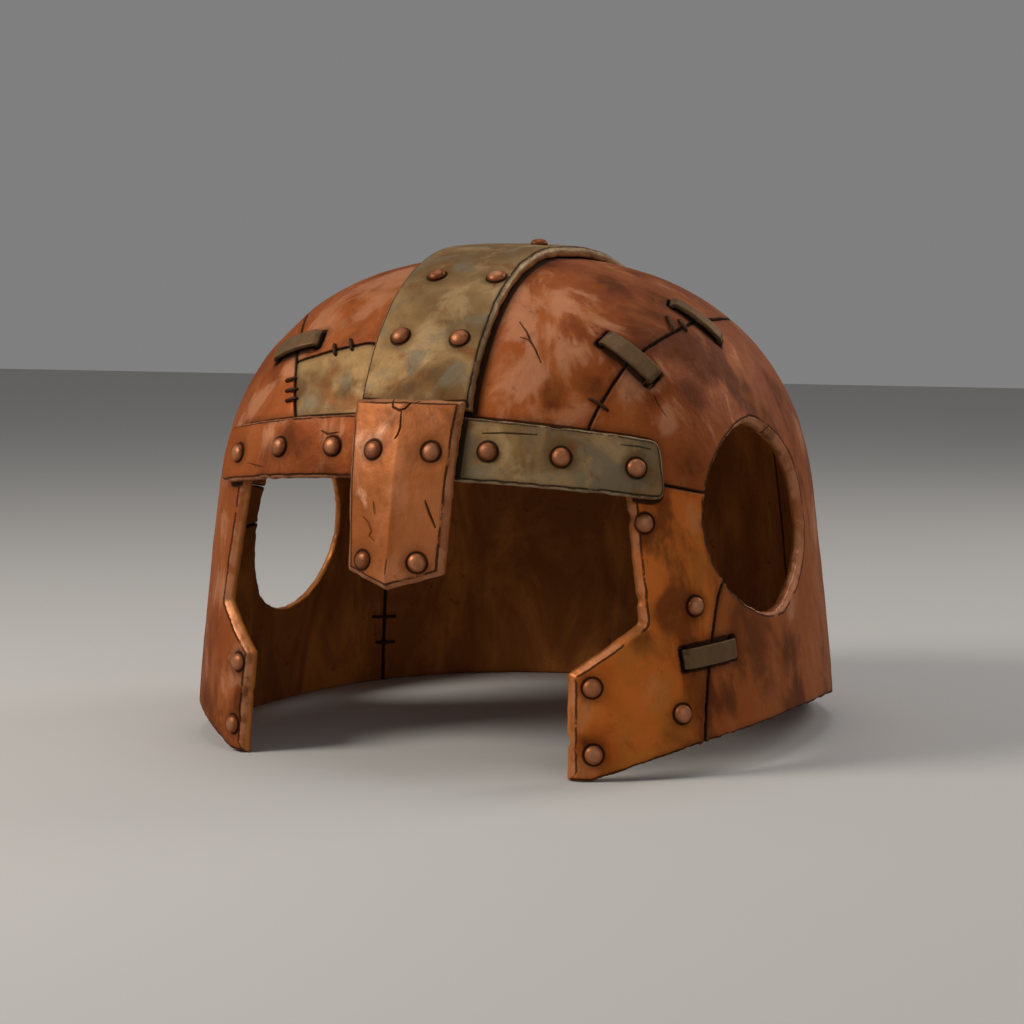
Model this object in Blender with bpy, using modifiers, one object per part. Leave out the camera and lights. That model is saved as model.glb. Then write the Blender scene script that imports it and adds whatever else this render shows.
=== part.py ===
"""A riveted open-faced helmet, patched together from thick copper and bronze plates.

Units are metres. +Z is up, the face looks along -Y and the wearer's left is +X.
The origin is on the floor plane, under the middle of the whole. Each plate is cut flat
from sheet, punched, and then raised over the skull form, as an armourer would do it.
"""

import math

import bmesh
import bpy
import numpy as np
from mathutils import Matrix, Vector

# Skull form, measured on the outer face of the plates.
HALF_WIDTH = 0.1248
FRONT_REACH = 0.1074
BACK_REACH = 0.1495
CROWN_HEIGHT = 0.1928
SHOULDER_HEIGHT = 0.0958
SIDE_LEAN = 0.0091
LEAN_CURVE = 1.24
CORNER_FULLNESS = 2.5
DOME_FULLNESS = 2.48
LEVEL_RIM_HEIGHT = 0.05

# Sheet stock and clearances.
PLATE_THICKNESS = 0.0045
STRAP_THICKNESS = 0.0042
NASAL_THICKNESS = 0.0046
SEAM_GAP = 0.0008
LAYER_GAP = 0.0006

# Rim: it arches clear of the floor at the sides, and stands on the cheek tips and the back.
# Degrees round from the front, share of RIM_ARCH; 1 is the wearer's left and -1 the right.
RIM_ARCH = 0.0165
RIM_ROWS = {
    1: [
        (26.0, 0.0), (29.0, 0.0), (34.0, 0.0), (43.0, 0.36), (56.0, 0.76), (70.0, 0.94), (85.0, 1.0),
        (100.0, 0.95), (114.0, 0.79), (126.0, 0.42), (138.0, 0.09), (148.0, 0.0), (164.0, 0.0), (180.0, 0.0),
    ],
    -1: [
        (26.0, 0.0), (31.7, 0.0), (35.0, 0.0), (43.0, 0.39), (54.0, 0.74), (62.0, 0.7), (70.0, 0.36),
        (78.0, 0.04), (88.0, 0.0), (105.0, 0.0), (120.0, 0.0), (140.0, 0.0), (160.0, 0.0), (180.0, 0.0),
    ],
}

# Seams: degrees round from the front, level. The floor is level 0, the brow 1 and the crown 2.
EYE_LINE = [
    (0.0, 0.923), (19.7, 0.92), (35.1, 0.91), (41.7, 0.904), (49.2, 0.895), (61.6, 0.857), (90.0, 0.79),
]
CHEEK_SEAM = [
    (90.0, 0.672), (78.6, 0.663), (63.4, 0.604), (59.1, 0.475), (56.6, 0.293), (55.4, 0.121), (55.2, 0.0),
]
LEFT_CROWN_SEAM = [
    (35.1, 0.91), (35.4, 0.991), (36.3, 1.131), (40.4, 1.28), (46.7, 1.431), (54.3, 1.519), (66.0, 1.591),
    (84.7, 1.643), (108.0, 1.649), (135.0, 1.604), (160.0, 1.534), (180.0, 1.505),
]
RIGHT_CROWN_SEAM = [
    (21.3, 0.918), (23.7, 0.991), (27.4, 1.158), (30.0, 1.277), (34.5, 1.424), (41.6, 1.565), (52.0, 1.66),
    (70.0, 1.713), (92.0, 1.722), (115.0, 1.692), (140.0, 1.614), (160.0, 1.539), (180.0, 1.505),
]
PATCH_TOP_SEAM = [
    (34.5, 1.424), (30.2, 1.456), (25.1, 1.489), (19.9, 1.515), (14.7, 1.534), (8.7, 1.505), (2.9, 1.478),
]
BACK_SEAM_TURN = {1: 139.0, -1: 125.7}

# Face opening, in the cheek plates.
CHEEK_TIP_TURN = {1: 30.1, -1: 32.1}
CHEEK_FRONT_TURN = {1: 30.4, -1: 31.7}
CHEEK_FRONT_HEIGHT = 0.0400
NOTCH_TURN = {1: 43.4, -1: 41.2}
NOTCH_HEIGHT = 0.0582
BROW_EDGE_TURN = {1: 41.9, -1: 38.6}
FACE_EDGE_CHAMFER = 0.003

# Ear openings: turn, level, half width in degrees.
EAR_HALF_HEIGHT = 0.0366
EARS = {1: (79.2, 0.772, 21.1), -1: (99.3, 0.64, 14.0)}

# Brow plates.
BROW_HEIGHT = 0.1208
BROW_HALF_HEIGHT = 0.0123
BROW_END_HALF_HEIGHT = 0.0112
BROW_DROP = 0.0082
BROW_END_TURN = {1: 49.0, -1: 45.5}
BROW_START_X = 0.003
BROW_CORNER = 0.0045
BROW_CHAMFER = 0.0011
BROW_RIVETS = {  # degrees, share of the half height
    1: [(17.5, -0.01), (30.5, 0.03), (43.6, -0.03)],
    -1: [(14.5, -0.01), (27.0, 0.03), (39.0, -0.03)],
}

# The crest band and the nasal plate sit this far to the wearer's left of the skull's middle.
MIDDLE_X = 0.003

# Crest band.
CREST_HALF_WIDTH = 0.0228
CREST_BACK_HEIGHT = 0.096
CREST_CHAMFER = 0.0014
# Shares of the way from the crown to the brow (below 0) or the nape, shares of the half width.
CREST_RIVETS = [
    (-0.746, 0.553), (-0.746, -0.509), (-0.47, 0.71), (-0.47, -0.377), (-0.017, 0.469), (0.194, -0.588),
    (0.27, 0.588), (0.426, -0.588), (0.496, 0.588), (0.661, -0.588), (0.745, 0.588), (0.863, -0.588),
]
CROWN_PLATE_EDGE_X = 0.0058

# Nasal plate.
NASAL_TOP_HEIGHT = 0.1366
NASAL_CORNER_HEIGHT = 0.0747
NASAL_TIP_HEIGHT = 0.0680
NASAL_TOP_HALF_WIDTH = 0.0221
NASAL_BOTTOM_HALF_WIDTH = 0.0196
NASAL_TOP_RIDGE = 0.0016
NASAL_BOTTOM_RIDGE = 0.0084
NASAL_CHAMFER = 0.0020
NASAL_RIVETS = {"upper": (0.59, -0.48), "lower": (0.53, -0.58)}  # shares of the half width
NASAL_RIVET_DROP = 0.0025
NASAL_RIVET_RISE = 0.0043

CHEEK_RIVETS = {  # degrees, level
    1: [(45.2, 0.782), (54.8, 0.522), (34.8, 0.286), (50.9, 0.197), (34.8, 0.083)],
    -1: [(35.2, 0.291), (35.6, 0.089)],
}

# Rivets.
RIVET_HEAD_RADIUS = 0.0036
RIVET_HEAD_HEIGHT = 0.0026
RIVET_SHANK_RADIUS = 0.0015
RIVET_SIDES = 8
HOLE_CLEARANCE = 0.00045
SLOT_CLEARANCE = 0.0007

# Staples across the seams: name, turn, level, degrees of lean.
STAPLE_LENGTH = 0.0252
STAPLE_WIDTH = 0.0075
STAPLE_THICKNESS = 0.0019
STAPLE_ARCH = 0.0008
STAPLE_LEG = 0.0040
STAPLES = [
    ("staple_left_front", 48.0, 1.467, -50.0),
    ("staple_left_top", 84.5, 1.643, -64.0),
    ("staple_left_cheek", 57.5, 0.373, 6.0),
    ("staple_right_front", -38.0, 1.507, 21.0),
    ("staple_right_top", -94.0, 1.722, 66.0),
]

# Sheet grids: how finely a flat sheet is ruled before it is raised.
TURN_STEP = 6.0
DOME_ROWS = 13
WALL_RADIUS = 0.110
FACET_LENGTH = 0.012
FACET_BULGE = 0.0002
EAR_SIDES = 30

SIDES = ((1, "left"), (-1, "right"))

COPPER = ((0.36, 0.13, 0.06), 0.5, 0.7)
BRONZE = ((0.28, 0.21, 0.12), 0.55, 0.7)
RIVET_COPPER = ((0.55, 0.25, 0.15), 0.4, 0.8)
STAPLE_BRONZE = ((0.2, 0.16, 0.12), 0.5, 0.8)


def meridian():
    """Height, share of full width and path length from the rim, up to the crown."""
    wall = np.linspace(0, SHOULDER_HEIGHT, 2400, endpoint=False)
    turn = np.linspace(0, math.pi / 2, 4000)
    rise = (CROWN_HEIGHT - SHOULDER_HEIGHT) * np.sin(turn) ** (2 / DOME_FULLNESS)
    height = np.concatenate([wall, SHOULDER_HEIGHT + rise])
    dome = np.concatenate([np.ones_like(wall), np.abs(np.cos(turn)) ** (2 / DOME_FULLNESS)])
    share = dome * (1 - SIDE_LEAN / HALF_WIDTH * (height / SHOULDER_HEIGHT) ** LEAN_CURVE)
    steps = np.hypot(np.diff(height), HALF_WIDTH * np.diff(share))
    return height, share, np.concatenate([[0], np.cumsum(steps)])


HEIGHTS, SHARES, PATHS = meridian()
CROWN_PATH = PATHS[-1]


def fullness(turn):
    """How much further out than an ellipse the form reaches at this turn."""
    sides = np.abs(np.sin(turn)) ** CORNER_FULLNESS + np.abs(np.cos(turn)) ** CORNER_FULLNESS
    return sides ** (-1 / CORNER_FULLNESS)


def skull_point(turn, path):
    """A point of the skull form: turn in radians from the front, path up from the rim."""
    share = np.interp(path, PATHS, SHARES) * fullness(turn)
    reach = np.where(np.cos(turn) > 0, FRONT_REACH, BACK_REACH)
    height = np.interp(path, PATHS, HEIGHTS)
    return np.stack([HALF_WIDTH * share * np.sin(turn), -reach * share * np.cos(turn), height], -1)


def path_at(height):
    return float(np.interp(height, HEIGHTS, PATHS))


def path_of(level):
    """The path to a level: the floor is level 0, the brow 1 and the crown 2."""
    if level <= 1:
        return path_at(BROW_HEIGHT * level)
    return path_at(BROW_HEIGHT + (CROWN_HEIGHT - BROW_HEIGHT) * (level - 1))


DOME_STEP = (CROWN_PATH - path_at(SHOULDER_HEIGHT)) / DOME_ROWS


def unwrap(point):
    """The turn and path of the skull form's point nearest to this one."""
    reach = FRONT_REACH if point[1] < 0 else BACK_REACH
    turn = math.atan2(point[0] / HALF_WIDTH, -point[1] / reach)
    share = math.hypot(point[0] / HALF_WIDTH, point[1] / reach) / fullness(turn)
    near = np.argmin((HALF_WIDTH * (SHARES - share)) ** 2 + (HEIGHTS - point[2]) ** 2)
    return turn, float(PATHS[near])


class Wall:
    """The flat pattern of the walls: along by turn, up by path."""

    @staticmethod
    def place(u, v):
        return u / WALL_RADIUS, v

    @staticmethod
    def flat(turn, path):
        return turn * WALL_RADIUS, path


class Back(Wall):
    """The walls' pattern, opened at the front instead of at the back."""

    @staticmethod
    def flat(turn, path):
        return turn % (2 * math.pi) * WALL_RADIUS, path


class Dome:
    """The flat pattern of the dome, laid out round the crown point."""

    @staticmethod
    def place(u, v):
        return np.arctan2(u, -v), CROWN_PATH - np.hypot(u, v)

    @staticmethod
    def flat(turn, path):
        out = CROWN_PATH - path
        return out * math.sin(turn), -out * math.cos(turn)


def square_off(pattern, u, v):
    """Flat places on the skull form, and the directions square to it."""
    step = 0.0004
    point = skull_point(*pattern.place(u, v))
    along = skull_point(*pattern.place(u + step, v)) - skull_point(*pattern.place(u - step, v))
    up = skull_point(*pattern.place(u, v + step)) - skull_point(*pattern.place(u, v - step))
    normal = np.cross(along, up)
    return point, normal / np.linalg.norm(normal, axis=1)[:, None]


def through_plate(point, normal):
    """The direction through the thickness: square to the form, but level at the rim to rest flat."""
    through = normal.copy()
    through[:, 2] *= np.clip(point[:, 2] / LEVEL_RIM_HEIGHT, 0, 1)
    return through / np.linalg.norm(through, axis=1)[:, None]


def raise_points(pattern, flat, lift=None):
    """Lays flat points (along, up, off the sheet) over the skull form."""
    u, v, w = np.asarray(flat, float).T
    point, normal = square_off(pattern, u, v)
    if lift is not None:
        w = w + lift(point)
    return point + w[:, None] * through_plate(point, normal)


def directions_at(turn, path):
    """The point at this turn and path, the direction square to it and the one through the plate."""
    pattern = Dome if path > path_at(SHOULDER_HEIGHT) else Wall
    u, v = pattern.flat(turn, path)
    point, normal = square_off(pattern, np.array([u]), np.array([v]))
    return Vector(point[0]), Vector(normal[0]), Vector(through_plate(point, normal)[0])


def smooth_rows(rows, samples=4):
    """A smooth curve through a table's rows, as (turn in radians, value)."""
    rows = [(math.radians(turn), value) for turn, value in rows]
    ends = [rows[0], *rows, rows[-1]]
    curve = []
    for before, start, end, after in zip(ends, ends[1:], ends[2:], ends[3:]):
        for k in range(samples):
            t = k / samples
            curve.append(tuple(
                0.5 * (2 * b + (c - a) * t + (2 * a - 5 * b + 4 * c - d) * t**2 + (3 * b - a - 3 * c + d) * t**3)
                for a, b, c, d in zip(before, start, end, after)
            ))
    return [*curve, rows[-1]]


def thinned(places):
    """The points that a seam needs: no further apart than FACET_LENGTH, and closer only at bends."""
    flat = [Vector(Wall.flat(*place)) for place in places]
    kept = [0]
    for k in range(1, len(places) - 1):
        start, end = flat[kept[-1]], flat[k + 1]
        chord = (end - start).normalized()
        bulge = max(abs(chord.cross(point - start)) for point in flat[kept[-1] + 1:k + 1])
        if bulge > FACET_BULGE or (end - start).length > FACET_LENGTH:
            kept.append(k)
    return [places[k] for k in kept] + [places[-1]]


def seam(rows, side=1):
    """A seam's (turn, path) points, for the wearer's left (side 1) or right (side -1)."""
    curve = thinned([(turn, path_of(level)) for turn, level in smooth_rows(rows)])
    return [(side * turn, path) for turn, path in curve]


def rim(low_turn, high_turn, side=1):
    """The rim's (turn, path) points between two turns given in degrees."""
    steps = max(math.ceil((high_turn - low_turn) / TURN_STEP * 1.2), 1)
    turns = np.radians(np.linspace(low_turn, high_turn, steps + 1))
    rows = smooth_rows(RIM_ROWS[side])
    shares = np.interp(turns, [r[0] for r in rows], [r[1] for r in rows])
    return [(side * turn, path_at(max(share, 0) * RIM_ARCH) - SEAM_GAP / 2) for turn, share in zip(turns, shares)]


def part_of(points, low, high, side=1):
    """The part of a seam between two turns in degrees, with its ends exactly there."""
    turns = [side * p[0] for p in points]
    paths = [p[1] for p in points]
    low, high = math.radians(low), math.radians(high)
    inner = [t for t in turns if low + 0.002 < t < high - 0.002]
    ends = sorted((turn, path) for turn, path in zip(turns, paths))
    xs, ys = zip(*ends)
    return [(side * t, float(np.interp(t, xs, ys))) for t in sorted([low, *inner, high])]


def laid_flat(pattern, places):
    return [pattern.flat(turn, path) for turn, path in places]


def signed_area(points):
    return sum(a[0] * b[1] - b[0] * a[1] for a, b in zip(points, points[1:] + points[:1])) / 2


def without_repeats(points, least=0.0004):
    kept = []
    for point in points:
        if not kept or math.dist(point, kept[-1]) > least:
            kept.append(point)
    while math.dist(kept[0], kept[-1]) < least:
        kept.pop()
    return kept


def shrink(points, amount):
    """The outline moved inwards by this much, so that plates clear each other at a seam."""
    points = without_repeats(points)
    if signed_area(points) < 0:
        points = points[::-1]
    moved = []
    for before, here, after in zip(points[-1:] + points[:-1], points, points[1:] + points[:1]):
        first = (Vector(here) - Vector(before)).normalized()
        second = (Vector(after) - Vector(here)).normalized()
        inward = Vector((-first.y - second.y, first.x + second.x))
        spread = max(1 + first.dot(second), 0.3)
        moved.append(tuple(Vector(here) + inward * (amount / spread)))
    return moved


def prism(bm, points, low, high):
    """Adds an upright prism over a flat outline, and returns its top edges."""
    if signed_area(points) < 0:
        points = points[::-1]
    face = bm.faces.new([bm.verts.new((x, y, low)) for x, y in points])
    face.normal_flip()
    made = bmesh.ops.extrude_face_region(bm, geom=[face], use_keep_orig=True)
    top = [item for item in made["geom"] if isinstance(item, bmesh.types.BMVert)]
    bmesh.ops.translate(bm, verts=top, vec=(0, 0, high - low))
    bmesh.ops.recalc_face_normals(bm, faces=bm.faces[:])
    raised = set(top)
    return [edge for edge in bm.edges if edge.verts[0] in raised and edge.verts[1] in raised]


def new_object(name, bm, collection):
    mesh = bpy.data.meshes.new(name)
    bm.to_mesh(mesh)
    bm.free()
    made = bpy.data.objects.new(name, mesh)
    collection.objects.link(made)
    return made


def cutter(name, bm):
    made = new_object(name, bm, CUTTERS)
    made.hide_render = True
    made.display_type = "WIRE"
    return made


def ruled(low, high, step):
    """Whole multiples of step that reach past both ends, so that sheets in one pattern share their lines."""
    return [k * step for k in range(math.floor(low / step - 0.2), math.ceil(high / step + 0.2) + 1)]


def wall_rows(low, high):
    """Ruled lines up a wall: wide apart where it is straight, close where it turns into the dome."""
    rows = [-0.002, path_at(LEVEL_RIM_HEIGHT)]
    rows += [CROWN_PATH - k * DOME_STEP for k in range(DOME_ROWS, 0, -1)]
    under = [row for row in rows if row <= low - 0.0002]
    over = [row for row in rows if row >= high + 0.0002]
    start = rows.index(under[-1]) if under else 0
    end = rows.index(over[0]) if over else len(rows) - 1
    return rows[start:end + 1]


def ruled_sheet(name, lines_u, lines_v, low, high):
    """A flat sheet ruled along and across, as a surface with Solidify."""
    bm = bmesh.new()
    bmesh.ops.create_grid(bm, x_segments=len(lines_u) - 1, y_segments=len(lines_v) - 1, size=1)
    for vert in bm.verts:
        column = round((vert.co.x + 1) / 2 * (len(lines_u) - 1))
        row = round((vert.co.y + 1) / 2 * (len(lines_v) - 1))
        vert.co = (lines_u[column], lines_v[row], high)
    made = new_object(name, bm, PARTS)
    wall = made.modifiers.new("stock", "SOLIDIFY")
    wall.thickness = high - low
    wall.offset = -1
    return made


def cut_plate(name, pattern, outline, low, high, stock, punches=(), chamfer=0, chamfered=None, lift=None):
    """Cuts a plate from flat sheet, punches it and raises it over the skull form."""
    us, vs = zip(*outline)
    if issubclass(pattern, Wall):
        lines_u = ruled(min(us), max(us), math.radians(TURN_STEP) * WALL_RADIUS)
        lines_v = wall_rows(min(vs), max(vs))
    else:
        lines_u = ruled(min(us), max(us), DOME_STEP)
        lines_v = ruled(min(vs), max(vs), DOME_STEP)
    plate = ruled_sheet(name, lines_u, lines_v, low, high)
    spare = 0.0005
    shape = bmesh.new()
    top_edges = prism(shape, outline, low - spare, high + spare)
    if chamfer:
        chosen = [e for e in top_edges if chamfered is None or chamfered((e.verts[0].co + e.verts[1].co) / 2)]
        bmesh.ops.bevel(
            shape, geom=chosen, offset=chamfer + spare, offset_type="OFFSET", segments=1, affect="EDGES",
            clamp_overlap=False,
        )
    shear = plate.modifiers.new("outline", "BOOLEAN")
    shear.operation = "INTERSECT"
    shear.object = cutter(name + "_outline", shape)
    if punches:
        holes = bmesh.new()
        for punch in punches:
            prism(holes, laid_flat(pattern, [unwrap(point) for point in punch]), low - spare, high + spare)
        drill = plate.modifiers.new("holes", "BOOLEAN")
        drill.operation = "DIFFERENCE"
        drill.object = cutter(name + "_holes", holes)
    bpy.context.view_layer.update()
    flat = bpy.data.meshes.new_from_object(plate.evaluated_get(bpy.context.evaluated_depsgraph_get()))
    facets = bmesh.new()
    facets.from_mesh(flat)
    bmesh.ops.triangulate(facets, faces=facets.faces[:])
    facets.to_mesh(flat)
    facets.free()
    places = np.array([vert.co for vert in flat.vertices])
    for vert, place in zip(flat.vertices, raise_points(pattern, places, lift)):
        vert.co = place
    plate.modifiers.clear()
    plate.data = flat
    finish(plate, stock)
    return plate


def finish(made, stock):
    made.data.shade_smooth()
    made.data.set_sharp_from_angle(angle=math.radians(35))
    made.data.materials.clear()
    made.data.materials.append(stock)


def material(name, look):
    colour, roughness, metallic = look
    made = bpy.data.materials.new(name)
    made.use_nodes = True
    shader = made.node_tree.nodes["Principled BSDF"]
    shader.inputs["Base Color"].default_value = (*colour, 1)
    shader.inputs["Roughness"].default_value = roughness
    shader.inputs["Metallic"].default_value = metallic
    return made


def surface_frame(turn, path):
    """The point at this turn and path, with its level, upward and outward directions."""
    point, out, _ = directions_at(turn, path)
    level = Vector((0, 0, 1)).cross(out)
    level = level.normalized() if level.length > 1e-6 else Vector((1, 0, 0))
    return point, level, out.cross(level), out


def round_punch(turn, path, radius):
    """A rivet hole's outline, clear of a shank of this radius all round."""
    point, level, up, _ = surface_frame(turn, path)
    reach = radius / math.cos(math.pi / RIVET_SIDES)
    corners = [2 * math.pi * k / RIVET_SIDES for k in range(RIVET_SIDES)]
    return [point + reach * (math.cos(a) * level + math.sin(a) * up) for a in corners]


def turn_for(x, path):
    """The turn at which the skull form is this far to the wearer's left."""
    turn = 0.0
    for _ in range(8):
        turn = math.asin(x / (HALF_WIDTH * np.interp(path, PATHS, SHARES) * fullness(turn)))
    return turn


def brow_middle(turn):
    return BROW_HEIGHT - BROW_DROP * (math.degrees(abs(turn)) / BROW_END_TURN[1]) ** 2


def brow_half_height(turn):
    share = math.degrees(abs(turn)) / BROW_END_TURN[1]
    return BROW_HALF_HEIGHT + (BROW_END_HALF_HEIGHT - BROW_HALF_HEIGHT) * share


def ear_punch(side):
    """The ear opening's outline, as points of the skull form."""
    middle, level, half_turn = EARS[side]
    points = []
    for k in range(EAR_SIDES):
        a = 2 * math.pi * k / EAR_SIDES
        turn = math.radians(middle + half_turn * math.cos(a))
        path = path_of(level) + EAR_HALF_HEIGHT * math.sin(a)
        points.append(skull_point(np.float64(side * turn), np.float64(path)))
    return points


def crest_place(way, x):
    """The turn and path of a point x across the crest band, a share of the way to one end."""
    reach = FRONT_REACH if way < 0 else BACK_REACH
    end = BROW_HEIGHT + BROW_HALF_HEIGHT if way < 0 else CREST_BACK_HEIGHT
    steps = np.hypot(np.diff(HEIGHTS), reach * np.diff(SHARES))
    from_crown = np.concatenate([np.cumsum(steps[::-1])[::-1], [0]])
    distance = abs(way) * np.interp(end, HEIGHTS, from_crown)
    along = float(np.interp(distance, from_crown[::-1], PATHS[::-1]))
    middle = skull_point(np.float64(0 if way < 0 else math.pi), np.float64(along))
    if middle[2] < SHOULDER_HEIGHT:
        turn = turn_for(x, along)
        return (turn if way < 0 else math.pi - turn), along
    turn = math.atan2(x / HALF_WIDTH, -middle[1] / reach)
    share = math.hypot(x / HALF_WIDTH, middle[1] / reach) / fullness(turn)
    return turn, float(np.interp(-share, -SHARES, PATHS))


def shell_plates(side):
    """The plates of the skull on one side, which all lie in one layer."""
    word = dict(SIDES)[side]
    plates = [f"crown_plate_{word}", f"side_plate_{word}", f"cheek_plate_{word}"]
    return plates if side > 0 else [*plates, "brow_patch"]


def rivet_places():
    """Every rivet: name, turn, path, and the plates that it may go through, outermost first."""
    rows = []
    for side, word in SIDES:
        for k, (turn, share) in enumerate(BROW_RIVETS[side], 1):
            t = math.radians(turn)
            height = brow_middle(t) + share * brow_half_height(t)
            through = [f"brow_plate_{word}", *shell_plates(side)]
            rows.append((f"rivet_brow_{word}_{k}", side * t, path_at(height), through))
        for k, (turn, level) in enumerate(CHEEK_RIVETS[side], 1):
            t = math.radians(turn)
            rows.append((f"rivet_cheek_{word}_{k}", side * t, path_of(level), shell_plates(side)))
    heights = {"upper": BROW_HEIGHT - NASAL_RIVET_DROP, "lower": NASAL_CORNER_HEIGHT + NASAL_RIVET_RISE}
    for name, height in heights.items():
        for share, (side, word) in zip(NASAL_RIVETS[name], SIDES):
            through = ["nasal_plate"]
            if name == "upper":
                through += [f"brow_plate_{word}", *shell_plates(side)]
            turn = turn_for(MIDDLE_X + share * nasal_half_width(height), path_at(height))
            rows.append((f"rivet_nasal_{name}_{word}", turn, path_at(height), through))
    for k, (way, across) in enumerate(CREST_RIVETS, 1):
        side = 1 if across > 0 else -1
        through = ["crest_band", *shell_plates(side), "back_plate"]
        rows.append((f"rivet_crest_{k}", *crest_place(way, MIDDLE_X + across * CREST_HALF_WIDTH), through))
    return rows


def nasal_half_width(height):
    share = (height - NASAL_CORNER_HEIGHT) / (NASAL_TOP_HEIGHT - NASAL_CORNER_HEIGHT)
    return NASAL_BOTTOM_HALF_WIDTH + (NASAL_TOP_HALF_WIDTH - NASAL_BOTTOM_HALF_WIDTH) * share


def nasal_lift(points):
    """How far the nasal plate's ridge stands proud at each point."""
    share = np.clip((points[:, 2] - NASAL_TIP_HEIGHT) / (NASAL_TOP_HEIGHT - NASAL_TIP_HEIGHT), 0, 1)
    ridge = NASAL_BOTTOM_RIDGE + (NASAL_TOP_RIDGE - NASAL_BOTTOM_RIDGE) * share
    return ridge * np.clip(1 - np.abs(points[:, 0] - MIDDLE_X) / NASAL_TOP_HALF_WIDTH, 0, 1)


def layer_of(plate):
    """How far the inner and the outer face of a plate stand off the skull form."""
    if plate == "nasal_plate":
        return 2 * LAYER_GAP + STRAP_THICKNESS, 2 * LAYER_GAP + STRAP_THICKNESS + NASAL_THICKNESS
    if plate == "crest_band" or plate.startswith("brow_plate"):
        return LAYER_GAP, LAYER_GAP + STRAP_THICKNESS
    return -PLATE_THICKNESS, 0.0


def rivet_axis(turn, path, through):
    """A rivet's seat on its outermost plate, its level, upward and outward directions, and its grip."""
    seat = layer_of(through[0])[1]
    point, level, up, out = surface_frame(turn, path)
    if through[0] == "nasal_plate":
        u, v = Wall.flat(turn, path)
        near = [(u, v, seat), (u + 0.001, v, seat), (u, v + 0.001, seat)]
        middle, beside, over = (Vector(p) for p in raise_points(Wall, near, nasal_lift))
        out = (beside - middle).cross(over - middle).normalized()
        level = Vector((0, 0, 1)).cross(out).normalized()
        return middle, level, out.cross(level), out, seat - layer_of(through[-1])[0]
    return point + seat * out, level, up, out, seat - layer_of(through[-1])[0]


def rivet_punches(turn, path, through):
    """A rivet's hole in each plate that it goes through, centred on its leaning axis."""
    seat, _, _, out, _ = rivet_axis(turn, path, through)
    holes = []
    for plate in through:
        inner, outer = layer_of(plate)
        middle = (inner + outer) / 2
        place = turn, path
        for _ in range(4):
            point, _, through_way = directions_at(*place)
            lift = float(nasal_lift(np.array([point]))[0]) if plate == "nasal_plate" else 0
            off = point + (middle + lift) * through_way - seat
            aside = off - off.dot(out) * out
            place = unwrap(point - aside)
        lean = math.tan(through_way.angle(out)) * (outer - inner) / 2
        holes.append((plate, round_punch(*place, RIVET_SHANK_RADIUS + HOLE_CLEARANCE + lean)))
    return holes


def make_rivet(name, turn, path, through, stock):
    """A domed rivet, turned about its own axis and set square to the surface."""
    seat, level, up, out, length = rivet_axis(turn, path, through)
    profile = [
        (RIVET_HEAD_RADIUS * math.sin(a), RIVET_HEAD_HEIGHT * math.cos(a))
        for a in (0, math.radians(48), math.radians(90))
    ]
    profile += [(RIVET_SHANK_RADIUS, 0), (RIVET_SHANK_RADIUS, -length - LAYER_GAP), (0, -length - LAYER_GAP)]
    bm = bmesh.new()
    verts = [bm.verts.new((r, 0, z)) for r, z in profile]
    for a, b in zip(verts, verts[1:]):
        bm.edges.new((a, b))
    rivet = new_object(name, bm, PARTS)
    turned = rivet.modifiers.new("turned", "SCREW")
    turned.steps = RIVET_SIDES
    turned.render_steps = RIVET_SIDES
    turned.use_merge_vertices = True
    turned.merge_threshold = 0.00005
    rivet.matrix_world = Matrix.Translation(seat + out * LAYER_GAP) @ Matrix(
        ((level.x, up.x, out.x, 0), (level.y, up.y, out.y, 0), (level.z, up.z, out.z, 0), (0, 0, 0, 1))
    )
    rivet.data.materials.append(stock)
    return rivet


def staple_axes(turn, level, lean):
    point, level, up, out = surface_frame(math.radians(turn), path_of(level))
    a = math.radians(lean)
    return point, math.cos(a) * level + math.sin(a) * up, -math.sin(a) * level + math.cos(a) * up


def staple_punches(row):
    """The two slots for a staple's legs, one each side of its seam."""
    point, along, across = staple_axes(*row[1:])
    slots = []
    for end in (-1, 1):
        middle = point + end * (STAPLE_LENGTH - STAPLE_THICKNESS) / 2 * along
        half_long = STAPLE_THICKNESS / 2 + SLOT_CLEARANCE
        half_wide = STAPLE_WIDTH / 2 + SLOT_CLEARANCE
        slots.append([
            middle + i * half_long * along + j * half_wide * across for i, j in ((-1, -1), (1, -1), (1, 1), (-1, 1))
        ])
    return slots


def make_staple(row, stock):
    """A flat bar bent over a seam, with its two ends driven through the plates."""
    point, along, across = staple_axes(*row[1:])
    half, thick = STAPLE_LENGTH / 2, STAPLE_THICKNESS
    stations = [half - thick, half / 3, -half / 3, thick - half]
    arch = {place: STAPLE_ARCH * (1 - (place / half) ** 2) for place in stations}
    over = [(p, thick + arch[p]) for p in reversed(stations)]
    top = [(-half, thick * 0.45), *over, (half, thick * 0.45)]
    under = [(half, -STAPLE_LEG), (half - thick, -STAPLE_LEG)]
    under += [(p, arch[p]) for p in stations]
    under += [(thick - half, -STAPLE_LEG), (-half, -STAPLE_LEG)]
    bm = bmesh.new()
    side = bm.faces.new([bm.verts.new((x, -STAPLE_WIDTH / 2, z + LAYER_GAP)) for x, z in top + under])
    made = bmesh.ops.extrude_face_region(bm, geom=[side], use_keep_orig=True)
    moved = [item for item in made["geom"] if isinstance(item, bmesh.types.BMVert)]
    bmesh.ops.translate(bm, verts=moved, vec=(0, STAPLE_WIDTH, 0))
    bmesh.ops.recalc_face_normals(bm, faces=bm.faces[:])
    for vert in bm.verts:
        turn, path = unwrap(point + vert.co.x * along + vert.co.y * across)
        seat, _, through_way = directions_at(turn, path)
        vert.co = seat + vert.co.z * through_way
    staple = new_object(row[0], bm, PARTS)
    staple.data.materials.append(stock)
    return staple


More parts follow.
